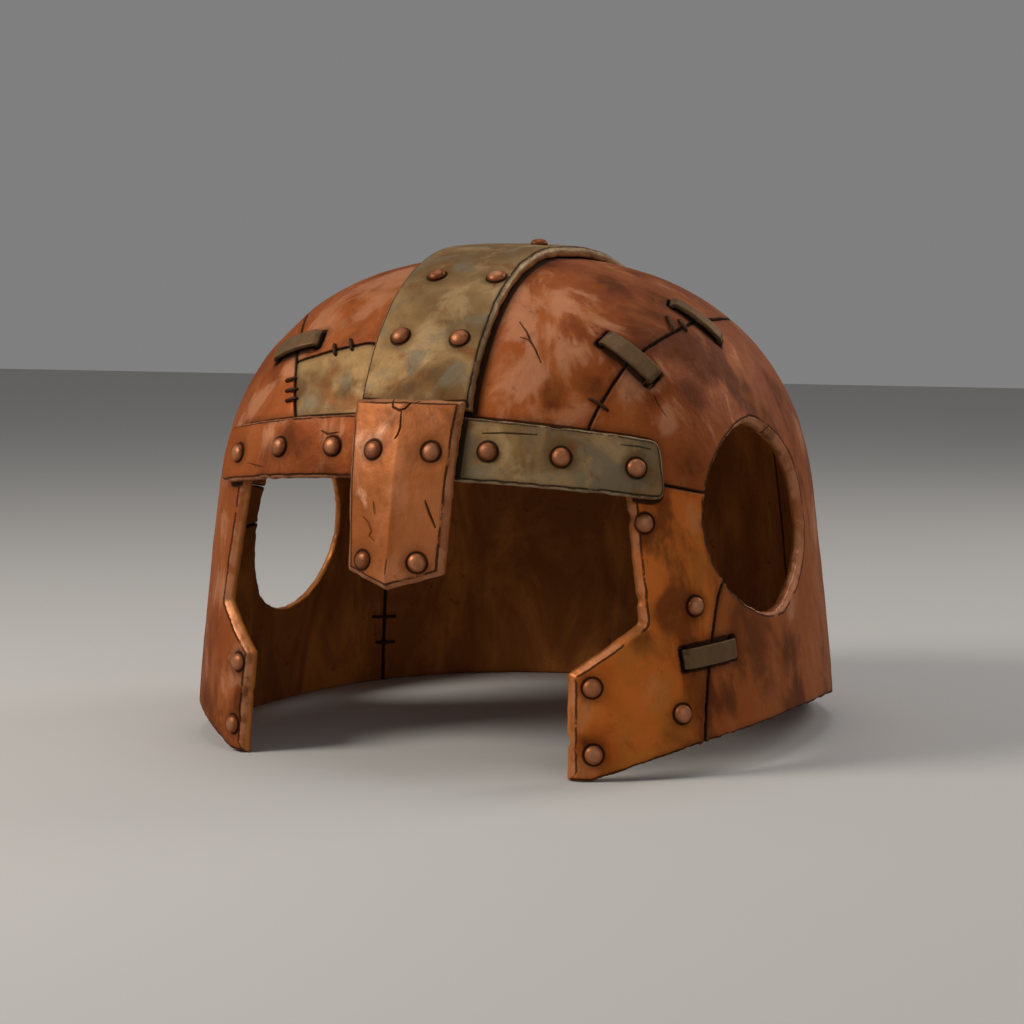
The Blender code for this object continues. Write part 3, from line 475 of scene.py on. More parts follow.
plates = {
    "crown_plate_left": {"pattern": "dome", "voxel": 0.00085, "metal": "copper"},
    "crown_plate_right": {"pattern": "dome", "voxel": 0.00085, "metal": "copper"},
    "brow_patch": {"pattern": "dome", "voxel": 0.0006, "metal": "bronze"},
    "crest_band": {"pattern": "dome", "voxel": 0.00075, "metal": "bronze", "bevel": 1.4},
    "side_plate_left": {"pattern": "wall", "voxel": 0.0009, "metal": "copper", "ear": (79.2, 0.772)},
    "side_plate_right": {"pattern": "wall", "voxel": 0.0009, "metal": "copper", "ear": (-99.3, 0.64)},
    "cheek_plate_left": {"pattern": "wall", "voxel": 0.0007, "metal": "cheekCopper", "bevel": 3.0, "faceSide": 1},
    "cheek_plate_right": {"pattern": "wall", "voxel": 0.0007, "metal": "copper", "bevel": 3.0, "faceSide": -1},
    "back_plate": {"pattern": "back", "voxel": 0.00105, "metal": "copper"},
    "brow_plate_left": {"pattern": "wall", "voxel": 0.0006, "metal": "bronze", "bevel": 1.1},
    "brow_plate_right": {"pattern": "wall", "voxel": 0.0006, "metal": "copper", "bevel": 1.1},
    "nasal_plate": {"pattern": "wall", "voxel": 0.0006, "metal": "nasalCopper", "bevel": 2.0, "ridged": True,
                    "hole": 0.0045},
}
straps = ("crest_band", "brow_plate_left", "brow_plate_right", "nasal_plate")
wear = {
    "swell": 0.00022, "swellSize": 0.030, "planish": 0.00012, "planishSize": 0.011,
    "edgeWander": 0.00034, "edgeSize": 0.008, "rivetDimple": 0.0003, "dimpleReach": 0.0055, "smoothing": 4,
    "seamClose": 0.00035, "seamReach": (0.0016, 0.0030), "edgeBevel": 0.6, "edgeReach": (0.0004, 0.0025),
    "faceTurn": (0.2, 0.5), "earPress": 0.0011, "earBevel": (0.9, 3.9), "earRear": (-14, 16), "earReach": (62, 50),
    "earDegree": 1.95, "fineReach": 0.0020, "shadeAndGrimeGap": 0.0009, "innerReach": 0.0004,
}
# spots of an outline that lie this near to a rivet or a staple are its hole
holes = {"rivet": 0.0029, "alongRivet": 0.012, "stapleReach": 0.022, "leg": 0.0032}
# which walls of a flat sheet count as its outline, and how densely it is sampled
sampling = {"slope": 0.25, "least": 1e-9, "level": 0.0008, "spacing": 0.0005}
# cut, inset and neck are on a dome of radius 1
rivetShape = {
    "segments": 28, "rings": 16, "shank": 0.0015, "shankLimit": 0.0027, "bite": 0.00005, "cut": 0.28, "inset": 0.5,
    "neck": 0.75, "lean": 0.05, "oval": 0.05, "fit": 0.985, "fullness": 0.92,
}
domeBase = 0.01 - rivetShape["cut"]
smoothBelow = math.radians(50)


def cornersOf(node):
    return np.unique(np.round(readPoints(nodes[node].data), 6), axis=0)


def mainWays(points):
    # spread and direction of a cloud of points, from its thinnest way to its longest
    return np.linalg.eigh(np.cov((points - points.mean(0)).T))


def rivetFrame(node):
    # axis, head base, head top and shank end of a CAD rivet
    points = cornersOf(node)
    middle = points.mean(0)
    sizes, ways = mainWays(points)
    odd = 0 if abs(sizes[1] - sizes[2]) < abs(sizes[1] - sizes[0]) else 2
    axis = ways[:, odd]
    along = (points - middle) @ axis
    out = np.linalg.norm(points - middle - along[:, None] * axis, axis=1)
    wide = out > rivetShape["shankLimit"]
    if along[wide].mean() < (along.min() + along.max()) / 2:
        axis, along = -axis, -along
    return {
        "axis": axis, "base": middle + axis * along[wide].min(), "radius": float(out.max()),
        "head": float(along.max() - along[wide].min()), "shank": float(along[wide].min() - along.min()),
    }


rivets = {node: rivetFrame(node) for node in nodes if node.startswith("rivet_")}
staplePoints = {node: cornersOf(node) for node in nodes if node.startswith("staple_")}


def fromRivet(points, rivet):
    # height of each point along a rivet's axis, and its distance from the axis
    reach = points - rivet["base"]
    along = reach @ rivet["axis"]
    return along, np.linalg.norm(reach - along[:, None] * rivet["axis"], axis=1)


def spreadAlong(points):
    # samples along every line between the corners of a staple
    return np.concatenate([
        points[None, k] * (1 - t) + points[None, j] * t
        for k in range(len(points)) for j in range(k) for t in (0.0, 0.25, 0.5, 0.75)
    ])


def endsOf(points):
    # samples of the two legs of a staple
    middle = points.mean(0)
    along = (points - middle) @ mainWays(points)[1][:, 2]
    reach = 0.6 * np.abs(along).max()
    return np.concatenate([spreadAlong(points[along > reach]), spreadAlong(points[along < -reach])])


stapleTrees = {node: treeOf(spreadAlong(points)) for node, points in staplePoints.items()}
legTrees = {node: treeOf(endsOf(points)) for node, points in staplePoints.items()}


def flattened(node):
    plate = plates[node]
    made = copyOfNode(node, node.replace("_", "-") + "-worn")
    points = readPoints(made.data) - shift
    flat, error = layFlat(plate["pattern"], points, plate.get("ridged", False))
    writePoints(made.data, flat)
    return made, flat, error


def outlineOf(mesh, flat):
    # samples along the cut walls of a flat sheet, with their outward directions
    tri = readFaces(mesh)
    corners = flat[tri]
    normal = np.cross(corners[:, 1] - corners[:, 0], corners[:, 2] - corners[:, 0])
    size = np.linalg.norm(normal, axis=1)
    normal = normal / np.maximum(size, 1e-12)[:, None]
    spots, ways = [], []
    for k in np.nonzero((np.abs(normal[:, 2]) < sampling["slope"]) & (size > sampling["least"]))[0]:
        for a, b in ((0, 1), (1, 2), (2, 0)):
            start, end = corners[k, a], corners[k, b]
            if abs(start[2] - end[2]) > sampling["level"]:
                continue
            count = max(int(math.dist(start, end) / sampling["spacing"]), 1)
            for t in (np.arange(count) + 0.5) / count:
                spots.append(start + (end - start) * t)
                ways.append(normal[k])
    return np.array(spots), np.array(ways)


def toStaples(points, trees):
    # distance from each point to the nearest staple
    away = np.full(len(points), 1.0)
    for staple, corners in staplePoints.items():
        close = np.linalg.norm(points - corners.mean(0), axis=1) < holes["stapleReach"]
        if close.any():
            away[close] = np.minimum(away[close], nearestIn(trees[staple], points[close])[1])
    return away


def inHoles(raised, holeReach):
    # whether each outline spot is the wall of a rivet hole or of a staple slot
    inside = toStaples(raised, legTrees) <= holes["leg"]
    for rivet in rivets.values():
        along, off = fromRivet(raised, rivet)
        inside |= (np.abs(along) < holes["alongRivet"]) & (off <= holeReach)
    return inside


sheets = {}
for node, plate in plates.items():
    made, flat, error = flattened(node)
    spots, ways = outlineOf(made.data, flat)
    raised = raisePoints(plate["pattern"], spots, plate.get("ridged", False)) + shift
    outline = ~inHoles(raised, plate.get("hole", holes["rivet"]))
    sheets[node] = {"object": made, "spots": spots[outline], "ways": ways[outline], "raised": raised[outline]}
    print(f"flat {node}: {len(flat)} points, off by {error * 1000:.4f} mm, {outline.sum()} outline spots")

strapTree = treeOf(np.concatenate([sheets[node]["raised"] for node in straps]))
nasalTree = treeOf(sheets["nasal_plate"]["raised"])
seamTrees = {
    node: treeOf(np.concatenate([sheets[other]["raised"] for other in plates if other not in straps and other != node]))
    for node in plates if node not in straps
}

# places are degrees round from the front towards the wearer's left, and levels; sizes are in mm
# cracks: plate, half width, depth, ink, places
cracks = [
    ("crown_plate_left", 0.5, 0.4, 1.0, [(23.7, 1.652), (25.3, 1.601), (26.1, 1.551), (27.0, 1.51), (27.9, 1.445)]),
    ("crown_plate_left", 0.4, 0.25, 0.8, [(23.6, 1.575), (25.4, 1.562), (26.4, 1.535)]),
    ("side_plate_left", 0.4, 0.25, 0.85, [(51.2, 1.279), (51.4, 1.235), (52.5, 1.168)]),
    ("side_plate_left", 0.45, 0.3, 0.95, [(86.0, 1.068), (88.6, 1.046), (92.0, 1.085)]),
    ("side_plate_left", 0.45, 0.3, 0.95, [(98.2, 0.975), (101.6, 0.895)]),
    ("side_plate_left", 0.4, 0.2, 0.8, [(104.6, 0.83), (106.0, 0.70)]),
    ("nasal_plate", 0.5, 0.5, 1.0, [(7.5, 0.84), (8.3, 0.805), (9.4, 0.762)]),
    ("nasal_plate", 0.45, 0.4, 1.0, [(-1.3, 1.21), (-0.7, 1.165), (0.9, 1.15), (2.0, 1.158), (3.1, 1.19),
     (4.6, 1.205)]),
    ("nasal_plate", 0.45, 0.4, 1.0, [(1.3, 1.148), (1.7, 1.07), (1.4, 1.035), (0.9, 1.018)]),
    ("nasal_plate", 0.5, 0.25, 0.5, [(-2.4, 0.83), (-1.9, 0.795)]),
    ("nasal_plate", 0.5, 0.3, 0.5, [(-4.5, 0.785), (-3.2, 0.768), (-2.4, 0.742), (-2.8, 0.728), (-1.6, 0.713)]),
    ("nasal_plate", 0.45, 0.25, 0.6, [(1.6, 0.66), (1.5, 0.615)]),
    ("brow_plate_left", 0.4, 0.3, 0.9, [(16.5, 1.072), (20.5, 1.075), (26.5, 1.068)]),
    ("brow_plate_left", 0.4, 0.25, 0.8, [(41.2, 1.018), (44.4, 1.008), (46.6, 0.996)]),
    ("brow_plate_right", 0.4, 0.25, 0.7, [(-17.6, 1.062), (-16.0, 1.047), (-13.8, 1.058)]),
    ("brow_plate_right", 0.4, 0.2, 0.6, [(-35.0, 0.925), (-30.5, 0.918)]),
    ("crown_plate_right", 0.4, 0.25, 0.7, [(-32.5, 1.475), (-29.5, 1.492)]),
]
# dents pressed in from outside: degrees, level, radius, depth
dents = [
    (31.0, 1.70, 15, 0.7), (35.0, 1.34, 12, 0.5), (50.0, 1.30, 12, 0.6), (62.0, 1.47, 13, 0.5),
    (84.0, 1.30, 15, 0.7), (104.0, 1.22, 14, 0.7), (-28.0, 1.68, 13, 0.6), (-21.0, 1.39, 10, 0.4),
    (-42.0, 1.30, 11, 0.5), (52.0, 0.45, 11, 0.6), (38.0, 0.26, 10, 0.6), (80.0, 0.27, 13, 0.6),
    (112.0, 0.55, 15, 0.8), (-46.0, 0.55, 11, 0.5), (-80.0, 1.25, 15, 0.7), (-118.0, 0.95, 15, 0.8),
    (-132.0, 0.35, 14, 0.6), (150.0, 1.10, 16, 0.8), (176.0, 0.55, 15, 0.7), (135.0, 1.45, 14, 0.6),
    (-150.0, 1.35, 14, 0.7), (-60.0, 1.60, 12, 0.5), (-100.0, 1.62, 13, 0.6), (100.0, 1.62, 13, 0.6),
    (-95.0, 0.25, 12, 0.5),
]
# bites out of an edge: plate, degrees, level, radius, depth
nicks = [
    ("side_plate_left", 56.3, 0.085, 3.2, 1.6), ("cheek_plate_left", 54.9, 0.075, 2.2, 0.9),
    ("cheek_plate_left", 44.4, 0.04, 2.6, 0.7), ("side_plate_left", 70.5, 0.11, 3.0, 0.6),
    ("side_plate_left", 98.6, 0.10, 2.6, 0.7), ("side_plate_left", 110.0, 0.06, 3.0, 1.0),
    ("cheek_plate_left", 44.0, 0.55, 3.0, 0.8), ("cheek_plate_left", 42.8, 0.80, 3.0, 0.8),
    ("cheek_plate_left", 30.4, 0.12, 2.6, 0.7), ("cheek_plate_right", -43.0, 0.11, 3.0, 0.8),
    ("cheek_plate_right", -37.9, 0.36, 2.6, 0.7), ("cheek_plate_right", -32.0, 0.20, 2.4, 0.6),
    ("nasal_plate", 9.6, 0.90, 2.4, 0.6), ("nasal_plate", 9.4, 0.76, 2.6, 0.9), ("nasal_plate", 9.0, 0.66, 2.2, 0.5),
    ("nasal_plate", 3.0, 1.20, 2.6, 0.6), ("brow_plate_left", 30.0, 1.11, 3.4, 0.5),
    ("brow_plate_left", 38.0, 0.88, 3.0, 0.5), ("brow_plate_right", -30.0, 0.89, 3.2, 0.5),
    ("back_plate", 165.0, 0.05, 3.6, 0.9), ("back_plate", -150.0, 0.05, 3.0, 0.8),
    ("side_plate_right", -85.0, 0.03, 3.2, 0.8), ("crest_band", 12.5, 1.62, 3.0, 0.5),
    ("crest_band", -9.0, 1.45, 3.0, 0.5),
]
# paler and darker copper, cooler and browner bronze: degrees, level, radius. On the nasal plate the pale blots at
# negative turns, on its left facet, are painted light, and the dark ones at turns 6.5 to 9, on its right facet, are
# painted shade, each partly the copper's own tone
blots = {
    "pale": [
        (24.2, 1.77, 16), (36.1, 1.77, 15), (22.2, 1.38, 13), (28.5, 1.61, 12), (40.1, 1.64, 11), (35.8, 1.51, 13),
        (46.5, 1.33, 11), (54.3, 1.20, 9), (51.8, 1.36, 9), (-28.4, 1.89, 12), (-22.7, 1.74, 12), (-34.3, 1.62, 12),
        (-40.0, 1.49, 12), (-44.2, 1.21, 11), (-44.5, 0.73, 9), (-43.9, 0.51, 9), (-34.8, 0.33, 7), (-37.3, 0.20, 7),
        (-14.1, 1.06, 6), (-35.9, 1.03, 7), (108.7, 0.71, 14), (98.8, 0.27, 13), (34.4, 0.22, 8), (44.7, 0.61, 7),
        (33.4, 0.05, 6), (45.8, 0.27, 7), (57.1, 0.78, 8), (89.3, 0.46, 7), (-2.8, 1.09, 7), (-0.2, 0.71, 7),
        (1.3, 0.59, 6), (8.1, 0.66, 6), (109.0, 0.95, 12), (-4.0, 0.90, 7), (4.3, 1.71, 9), (1.7, 1.56, 7),
        # the first three here are painted light on the nasal's left facet, partly paler copper
        (-5.5, 1.02, 9), (-5.8, 0.78, 9), (-4.5, 0.62, 7), (23.0, 1.00, 5), (-30.0, 1.04, 6), (-35.6, 1.40, 7),
    ],
    "dark": [
        (37.5, 1.33, 7), (36.7, 1.64, 6), (58.8, 1.84, 9), (75.9, 1.76, 9), (29.5, 1.28, 7), (60.9, 1.26, 8),
        (50.2, 1.25, 7), (84.0, 1.25, 13), (104.4, 1.31, 12), (70.0, 1.42, 11), (87.7, 0.36, 13), (70.7, 0.39, 12),
        (86.9, 0.49, 9), (49.7, 0.51, 8), (44.1, 0.72, 5), (43.3, 0.43, 6), (35.9, 0.11, 7), (-28.6, 1.28, 6),
        (-41.5, 1.38, 6), (-24.0, 1.00, 8), (-40.9, 0.99, 6), (49.3, 1.95, 8), (47.5, 1.48, 7), (-48.7, 0.13, 7),
        (-33.8, 0.17, 5), (36.3, 0.37, 7), (60.5, 0.22, 9), (90.9, 0.16, 12), (56.0, 0.94, 9), (6.5, 1.10, 8),
        # (6.5, 1.10) just before, and (8.0, 0.95), (6.5, 0.83), (9.0, 0.89) here, are painted shade on the nasal's
        # right facet, partly rust
        (8.0, 0.95, 9), (6.5, 0.83, 7), (9.0, 0.89, 10), (-23.0, 1.31, 9), (-17.5, 1.26, 6), (2.0, 1.28, 7),
        (8.5, 1.30, 7), (150.0, 1.30, 16), (172.0, 0.40, 18), (-165.0, 1.05, 15), (-142.0, 0.25, 16),
        (-118.0, 1.30, 14), (-75.0, 1.45, 14), (128.0, 0.90, 13), (-120.0, 0.70, 12), (160.0, 0.85, 12),
        (-60.0, 1.28, 10),
    ],
    "cool": [
        (0.1, 1.41, 6), (9.6, 1.37, 7), (13.8, 0.98, 8), (15.8, 0.92, 7), (41.7, 0.94, 11), (46.2, 0.99, 10),
        (38.2, 0.89, 7), (-24.6, 1.23, 5), (-17.5, 1.34, 5), (-4.8, 1.21, 4), (6.0, 1.19, 4), (14.0, 1.60, 7),
    ],
    "brown": [
        (-3.7, 1.29, 7), (-2.3, 1.78, 6), (12.3, 1.76, 7), (29.6, 0.98, 8), (27.3, 1.02, 5), (34.9, 0.94, 5),
        (-13.3, 1.24, 6), (-22.0, 1.36, 8), (17.1, 1.90, 9), (12.4, 1.46, 7), (-3.8, 1.54, 6), (3.0, 1.27, 7),
        (9.0, 1.26, 6), (-20.0, 1.28, 6), (180.0, 1.50, 9), (176.0, 1.10, 8), (184.0, 0.90, 7),
    ],
}


def farFrom(points, turn, level):
    # distance in mm from a place on the skull
    spot = skullPoint(np.radians([turn]), pathOf([level])) + shift
    return np.linalg.norm(points - spot, axis=1) * 1000


def sunk(points):
    # how far hammering and dents have pressed the surface in
    drop = wear["swell"] * (0.5 + 0.5 * waves(points, wear["swellSize"], 3))
    drop += wear["planish"] * (0.5 + 0.5 * waves(points, wear["planishSize"], 4))
    for turn, level, radius, depth in dents:
        drop += depth / 1000 * (1 - ease(farFrom(points, turn, level), 0.15 * radius, radius))
    return drop


def blotted(points, kind):
    # how far each point lies in any blot of this kind
    best = np.zeros(len(points))
    for turn, level, radius in blots[kind]:
        best = np.maximum(best, np.exp(-(farFrom(points, turn, level) / radius) ** 2))
    return best


def lineDistance(flat, pattern, places):
    # distance to a crack, and the share of its length at the nearest place
    spots = np.stack(flatOf(pattern, np.radians([p[0] for p in places]), pathOf([p[1] for p in places])), -1)
    best, share = np.full(len(flat), 1.0), np.zeros(len(flat))
    for k, (start, end) in enumerate(zip(spots, spots[1:])):
        way = end - start
        t = np.clip(((flat[:, :2] - start) @ way) / (way @ way), 0, 1)
        off = np.linalg.norm(flat[:, :2] - start - t[:, None] * way, axis=1)
        share = np.where(off < best, (k + t) / (len(spots) - 1), share)
        best = np.minimum(best, off)
    return best, share


def refineAlong(obj, pattern, rows):
    # finer faces along the cracks, for grooves with crisp sides
    if not rows:
        return
    mesh = obj.data
    centres = np.empty(len(mesh.polygons) * 3, np.float32)
    mesh.polygons.foreach_get("center", centres)
    centres = centres.reshape(-1, 3).astype(float)
    close = np.zeros(len(centres), bool)
    for *_, places in rows:
        close |= lineDistance(centres, pattern, places)[0] < wear["fineReach"]
    close &= centres[:, 2] > (centres[:, 2].min() + centres[:, 2].max()) / 2
    selectOnly(obj)
    bpy.ops.object.mode_set(mode="EDIT")
    bpy.ops.mesh.select_mode(type="FACE")
    bpy.ops.mesh.select_all(action="DESELECT")
    bpy.ops.object.mode_set(mode="OBJECT")
    mesh.polygons.foreach_set("select", close)
    bpy.ops.object.mode_set(mode="EDIT")
    bpy.ops.mesh.subdivide(number_cuts=2)
    bpy.ops.object.mode_set(mode="OBJECT")


def coverOf(node, point):
    # how near each point is to what lies over it, and how far the rivets press it in
    near = np.full(len(point), 1.0)
    for rivet in rivets.values():
        near = np.minimum(near, np.linalg.norm(point - rivet["base"], axis=1) - rivet["radius"])
    dimple = -wear["rivetDimple"] * (1 - ease(near, 0.0, wear["dimpleReach"]))
    # the gap sets where the painted shade and grime beside staples and straps begin
    near = np.minimum(near, toStaples(point, stapleTrees) - wear["shadeAndGrimeGap"])
    if node not in straps:
        near = np.minimum(near, nearestIn(strapTree, point)[1] - wear["shadeAndGrimeGap"])
    elif node != "nasal_plate":
        near = np.minimum(near, nearestIn(nasalTree, point)[1] - wear["shadeAndGrimeGap"])
    return near, dimple


def edgeLoss(node, pattern, flat, point, seam):
    # how far a worn edge and its nicks lie inside the CAD edge
    loss = wear["edgeWander"] * (0.5 + 0.5 * waves(point, wear["edgeSize"], 11)) * (1 - seam)
    for plateName, turn, level, radius, depth in nicks:
        if plateName == node:
            spot = np.array(flatOf(pattern, np.radians(turn), float(pathOf(level))))
            off = np.linalg.norm(flat[:, :2] - spot, axis=1) * 1000
            loss += depth / 1000 * (1 - ease(off, 0.2 * radius, radius))
    return loss


def rimOf(plate, flat, ways, edge, inner):
    # width in mm of the rubbed bevel, and how far the ear opening's rim is pressed in
    bevel = np.full(len(flat), plate.get("bevel", wear["edgeBevel"]))
    press = np.zeros(len(flat))
    if "faceSide" in plate:
        # only the edge round the face has the wide bevel
        bevel += (wear["edgeBevel"] - plate["bevel"]) * (1 - ease(-plate["faceSide"] * ways[:, 0], *wear["faceTurn"]))
    if "ear" in plate:
        # widest at the rear
        earTurn, earLevel = plate["ear"]
        narrow, wide = wear["earBevel"]
        turn = np.degrees(flat[:, 0] / form["wallRadius"])
        up = (flat[:, 1] - earLevel * form["browHeight"]) * 1000
        rear = ease((turn - earTurn) * np.sign(earTurn), *wear["earRear"])
        by = ease(np.hypot((turn - earTurn) * wear["earDegree"], up), *wear["earReach"])
        bevel += by * (narrow - wear["edgeBevel"] + rear * (wide - narrow))
        press = wear["earPress"] * rear * by * (1 - ease(edge * 1000, 0.2 * bevel, bevel)) * (1 - inner)
    return bevel, press


def crackedBy(rows, pattern, flat, inner):
    # ink and depth of the cracks, which taper at both ends
    mark, groove = np.zeros(len(flat)), np.zeros(len(flat))
    for _, half, depth, ink, places in rows:
        off, share = lineDistance(flat, pattern, places)
        half *= 0.35 + 0.65 * np.sin(math.pi * np.clip(share, 0.04, 0.96)) ** 0.7
        deep = (1 - ease(off * 1000, 0.25 * half, 1.15 * half)) * (1 - inner)
        mark = np.maximum(mark, ink * deep)
        groove = np.maximum(groove, depth / 1000 * deep)
    return mark, groove


# how high each rivet's head sits on the worn plate, along its axis
seats = {}
seating = {"ring": (0.7, 1.1), "height": 0.0022, "outside": 0.2, "fewest": 12, "percentile": 15}


def seatRivets(worn, inner):
    for name, rivet in rivets.items():
        along, off = fromRivet(worn, rivet)
        low, high = np.array(seating["ring"]) * rivet["radius"]
        rim = (off > low) & (off < high) & (np.abs(along) < seating["height"]) & (inner < seating["outside"])
        if rim.sum() > seating["fewest"]:
            seats[name] = max(seats.get(name, -1), np.percentile(along[rim], seating["percentile"]))


for node, plate in plates.items():
    sheet = sheets[node]
    made, pattern, ridged = sheet["object"], plate["pattern"], plate.get("ridged", False)
    levels = readPoints(made.data)[:, 2]
    middle = (levels.min() + levels.max()) / 2
    applied(made, "REMESH", mode="VOXEL", voxel_size=plate["voxel"], use_smooth_shade=True)
    applied(made, "SMOOTH", factor=0.5, iterations=wear["smoothing"])
    cracked = [row for row in cracks if row[0] == node]
    refineAlong(made, pattern, cracked)
    flat = readPoints(made.data)
    point = raisePoints(pattern, flat, ridged) + shift
    # the nearest place of the outline, seen from straight above the flat sheet
    found, edge = nearestIn(treeOf(sheet["spots"] * [1, 1, 0]), flat * [1, 1, 0])
    ways = sheet["ways"][found][:, :2]
    inner = ease(middle - flat[:, 2], -wear["innerReach"], wear["innerReach"])
    near, dimple = coverOf(node, point)
    seam = np.zeros(len(flat))
    if node not in straps:
        seam = 1 - ease(nearestIn(seamTrees[node], sheet["raised"])[1][found], *wear["seamReach"])
    loss = edgeLoss(node, pattern, flat, point, seam)
    bevel, press = rimOf(plate, flat, ways, edge, inner)
    mark, groove = crackedBy(cracked, pattern, flat, inner)
    # the swells and dents are the same through a stack of plates
    flat[:, 2] += dimple - sunk(point) - press - groove
    flat[:, :2] -= ways * ((loss - wear["seamClose"] * seam) * (1 - ease(edge, *wear["edgeReach"])))[:, None]
    tone = blotted(point, "pale") - blotted(point, "dark")
    cast = blotted(point, "cool") - blotted(point, "brown")
    worn = raisePoints(pattern, flat, ridged) + shift
    writePoints(made.data, worn)
    seatRivets(worn, inner)
    made.data.materials.append(metals[plate["metal"]])
    layers = {"edge": edge * 1000, "seam": seam, "near": near * 1000, "inner": inner, "mark": mark,
              "bevel": bevel, "tone": tone, "cast": cast}
    for layer, values in layers.items():
        writeLayer(made.data, layer, values)
    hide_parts(node)
    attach(made, "root")
    print(f"plate {node}: {len(made.data.polygons) * 2} triangles")


def modelRivet():
    # a unit dome, cut at its base and drawn down into a shank
    deselectAll()
    bpy.ops.mesh.primitive_uv_sphere_add(segments=rivetShape["segments"], ring_count=rivetShape["rings"], radius=1)
    made = bpy.context.object
    bpy.ops.object.mode_set(mode="EDIT")
    bpy.ops.mesh.select_all(action="SELECT")
    bpy.ops.mesh.bisect(plane_co=(0, 0, -rivetShape["cut"]), plane_no=(0, 0, 1), clear_inner=True, use_fill=True)
    bpy.ops.mesh.select_mode(type="FACE")
    bpy.ops.mesh.select_all(action="DESELECT")
    bpy.ops.object.mode_set(mode="OBJECT")
    for face in made.data.polygons:
        face.select = face.normal.z < -0.9 and face.center.z < domeBase
    bpy.ops.object.mode_set(mode="EDIT")
    bpy.ops.mesh.inset(thickness=rivetShape["inset"], depth=0)
    bpy.ops.mesh.extrude_region_move(TRANSFORM_OT_translate={"value": (0, 0, -1)})
    bpy.ops.object.mode_set(mode="OBJECT")
    return made


rivetModel = modelRivet()
rivetPoints = readPoints(rivetModel.data)
rough = np.random.default_rng(8)
for node, rivet in sorted(rivets.items()):
    made = added(node.replace("_", "-") + "-domed", rivetModel.data.copy())
    points = rivetPoints.copy()
    shank = points[:, 2] < -0.9
    neck = (points[:, 2] < domeBase) & (np.hypot(points[:, 0], points[:, 1]) < rivetShape["neck"])
    head = ~neck
    # an upset dome: fuller than a sphere, leaning and out of round by a little
    z = (points[:, 2] + rivetShape["cut"]) / (1 + rivetShape["cut"])
    local = np.zeros_like(points)
    lean = rough.uniform(-rivetShape["lean"], rivetShape["lean"], 2)
    spin = rough.uniform(0, 6.28)
    oval = 1 - rivetShape["oval"] * (0.5 + 0.5 * np.cos(2 * (np.arctan2(points[:, 1], points[:, 0]) + spin)))
    radius = rivet["radius"] * rivetShape["fit"]
    local[head, :2] = points[head, :2] * radius * oval[head, None]
    local[:, :2] += lean * radius * np.clip(z, 0, 1)[:, None]
    local[head, 2] = rivet["head"] * np.clip(z[head], 0, 1) ** rivetShape["fullness"]
    across = np.hypot(points[neck, 0], points[neck, 1])
    local[neck, :2] = points[neck, :2] / np.maximum(across, 1e-6)[:, None] * rivetShape["shank"]
    local[neck, 2] = np.where(shank[neck], -rivet["shank"], 0)
    axis = Vector(rivet["axis"])
    turnTo = np.array(axis.to_track_quat("Z", "Y").to_matrix())
    seat = min(seats.get(node, 0), 0) - rivetShape["bite"]
    writePoints(made.data, local @ turnTo.T + rivet["base"] + rivet["axis"] * seat)
    writeLayer(made.data, "foot", np.where(head, np.clip(z, 0, 1), 0.0))
    writeLayer(made.data, "age", np.full(len(points), rough.uniform(0, 1)))
    made.data.materials.append(metals["rivet"])
    selectOnly(made)
    bpy.ops.object.shade_smooth_by_angle(angle=smoothBelow)
    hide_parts(node)
    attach(made, "root")
bpy.data.objects.remove(rivetModel)
print("rivets:", len(rivets))

stapleShape = {
    "voxel": 0.00032, "smoothing": 7, "dent": 0.00018, "dentSize": 0.008, "flat": 0.0006, "foot": 0.0032,
    "skullMiddle": 0.09, "lengthShare": 0.7,
}
for node, points in staplePoints.items():
    made = copyOfNode(node, node.replace("_", "-") + "-worn")
    applied(made, "REMESH", mode="VOXEL", voxel_size=stapleShape["voxel"], use_smooth_shade=True)
    applied(made, "SMOOTH", factor=0.5, iterations=stapleShape["smoothing"])
    co = readPoints(made.data)
    middle = points.mean(0)
    # the way out from the skull, along one of the staple's two thinner ways
    outward = (middle - shift - [0, 0, stapleShape["skullMiddle"]]) * [1, stapleShape["lengthShare"], 1]
    outward /= np.linalg.norm(outward)
    normal = max(mainWays(points)[1][:, :2].T, key=lambda way: abs(way @ outward))
    normal = normal * np.sign(normal @ outward)
    up = (co - middle) @ normal
    top = up.max()
    dented = stapleShape["dent"] * (0.5 + 0.5 * waves(co, stapleShape["dentSize"], 21))
    co -= normal * (dented + sunk(middle[None])[0])[:, None]
    writePoints(made.data, co)
    writeLayer(made.data, "foot", np.clip(1 - (top - up - stapleShape["flat"]) / stapleShape["foot"], 0, 1))
    writeLayer(made.data, "age", np.full(len(co), 0.5))
    made.data.materials.append(metals["staple"])
    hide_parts(node)
    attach(made, "root")
print("staples:", len(staplePoints))

# stitches of wire over the seams: face, then both ends in degrees and levels
stitchShape = {
    "radius": 0.00068, "steps": 14, "sides": 10, "arch": 0.0006, "sink": 0.0022, "base": 0.0002, "bend": 0.16,
}
stitches = [
    ("outer", (36.3, 1.275), (40.6, 1.195)), ("outer", (69.0, 1.682), (65.8, 1.594)),
    ("outer", (73.3, 1.66), (71.9, 1.585)), ("outer", (-25.5, 1.531), (-22.7, 1.458)),
    ("outer", (-21.6, 1.559), (-18.6, 1.486)), ("outer", (-34.6, 1.319), (-30.7, 1.343)),
    ("outer", (-33.1, 1.267), (-28.8, 1.286)), ("outer", (-31.7, 1.215), (-27.8, 1.239)),
    ("inner", (-122.4, 0.252), (-128.6, 0.243)), ("inner", (-123.6, 0.150), (-128.3, 0.145)),
    ("outer", (-122.4, 0.252), (-128.6, 0.243)), ("outer", (-123.6, 0.150), (-128.3, 0.145)),
]


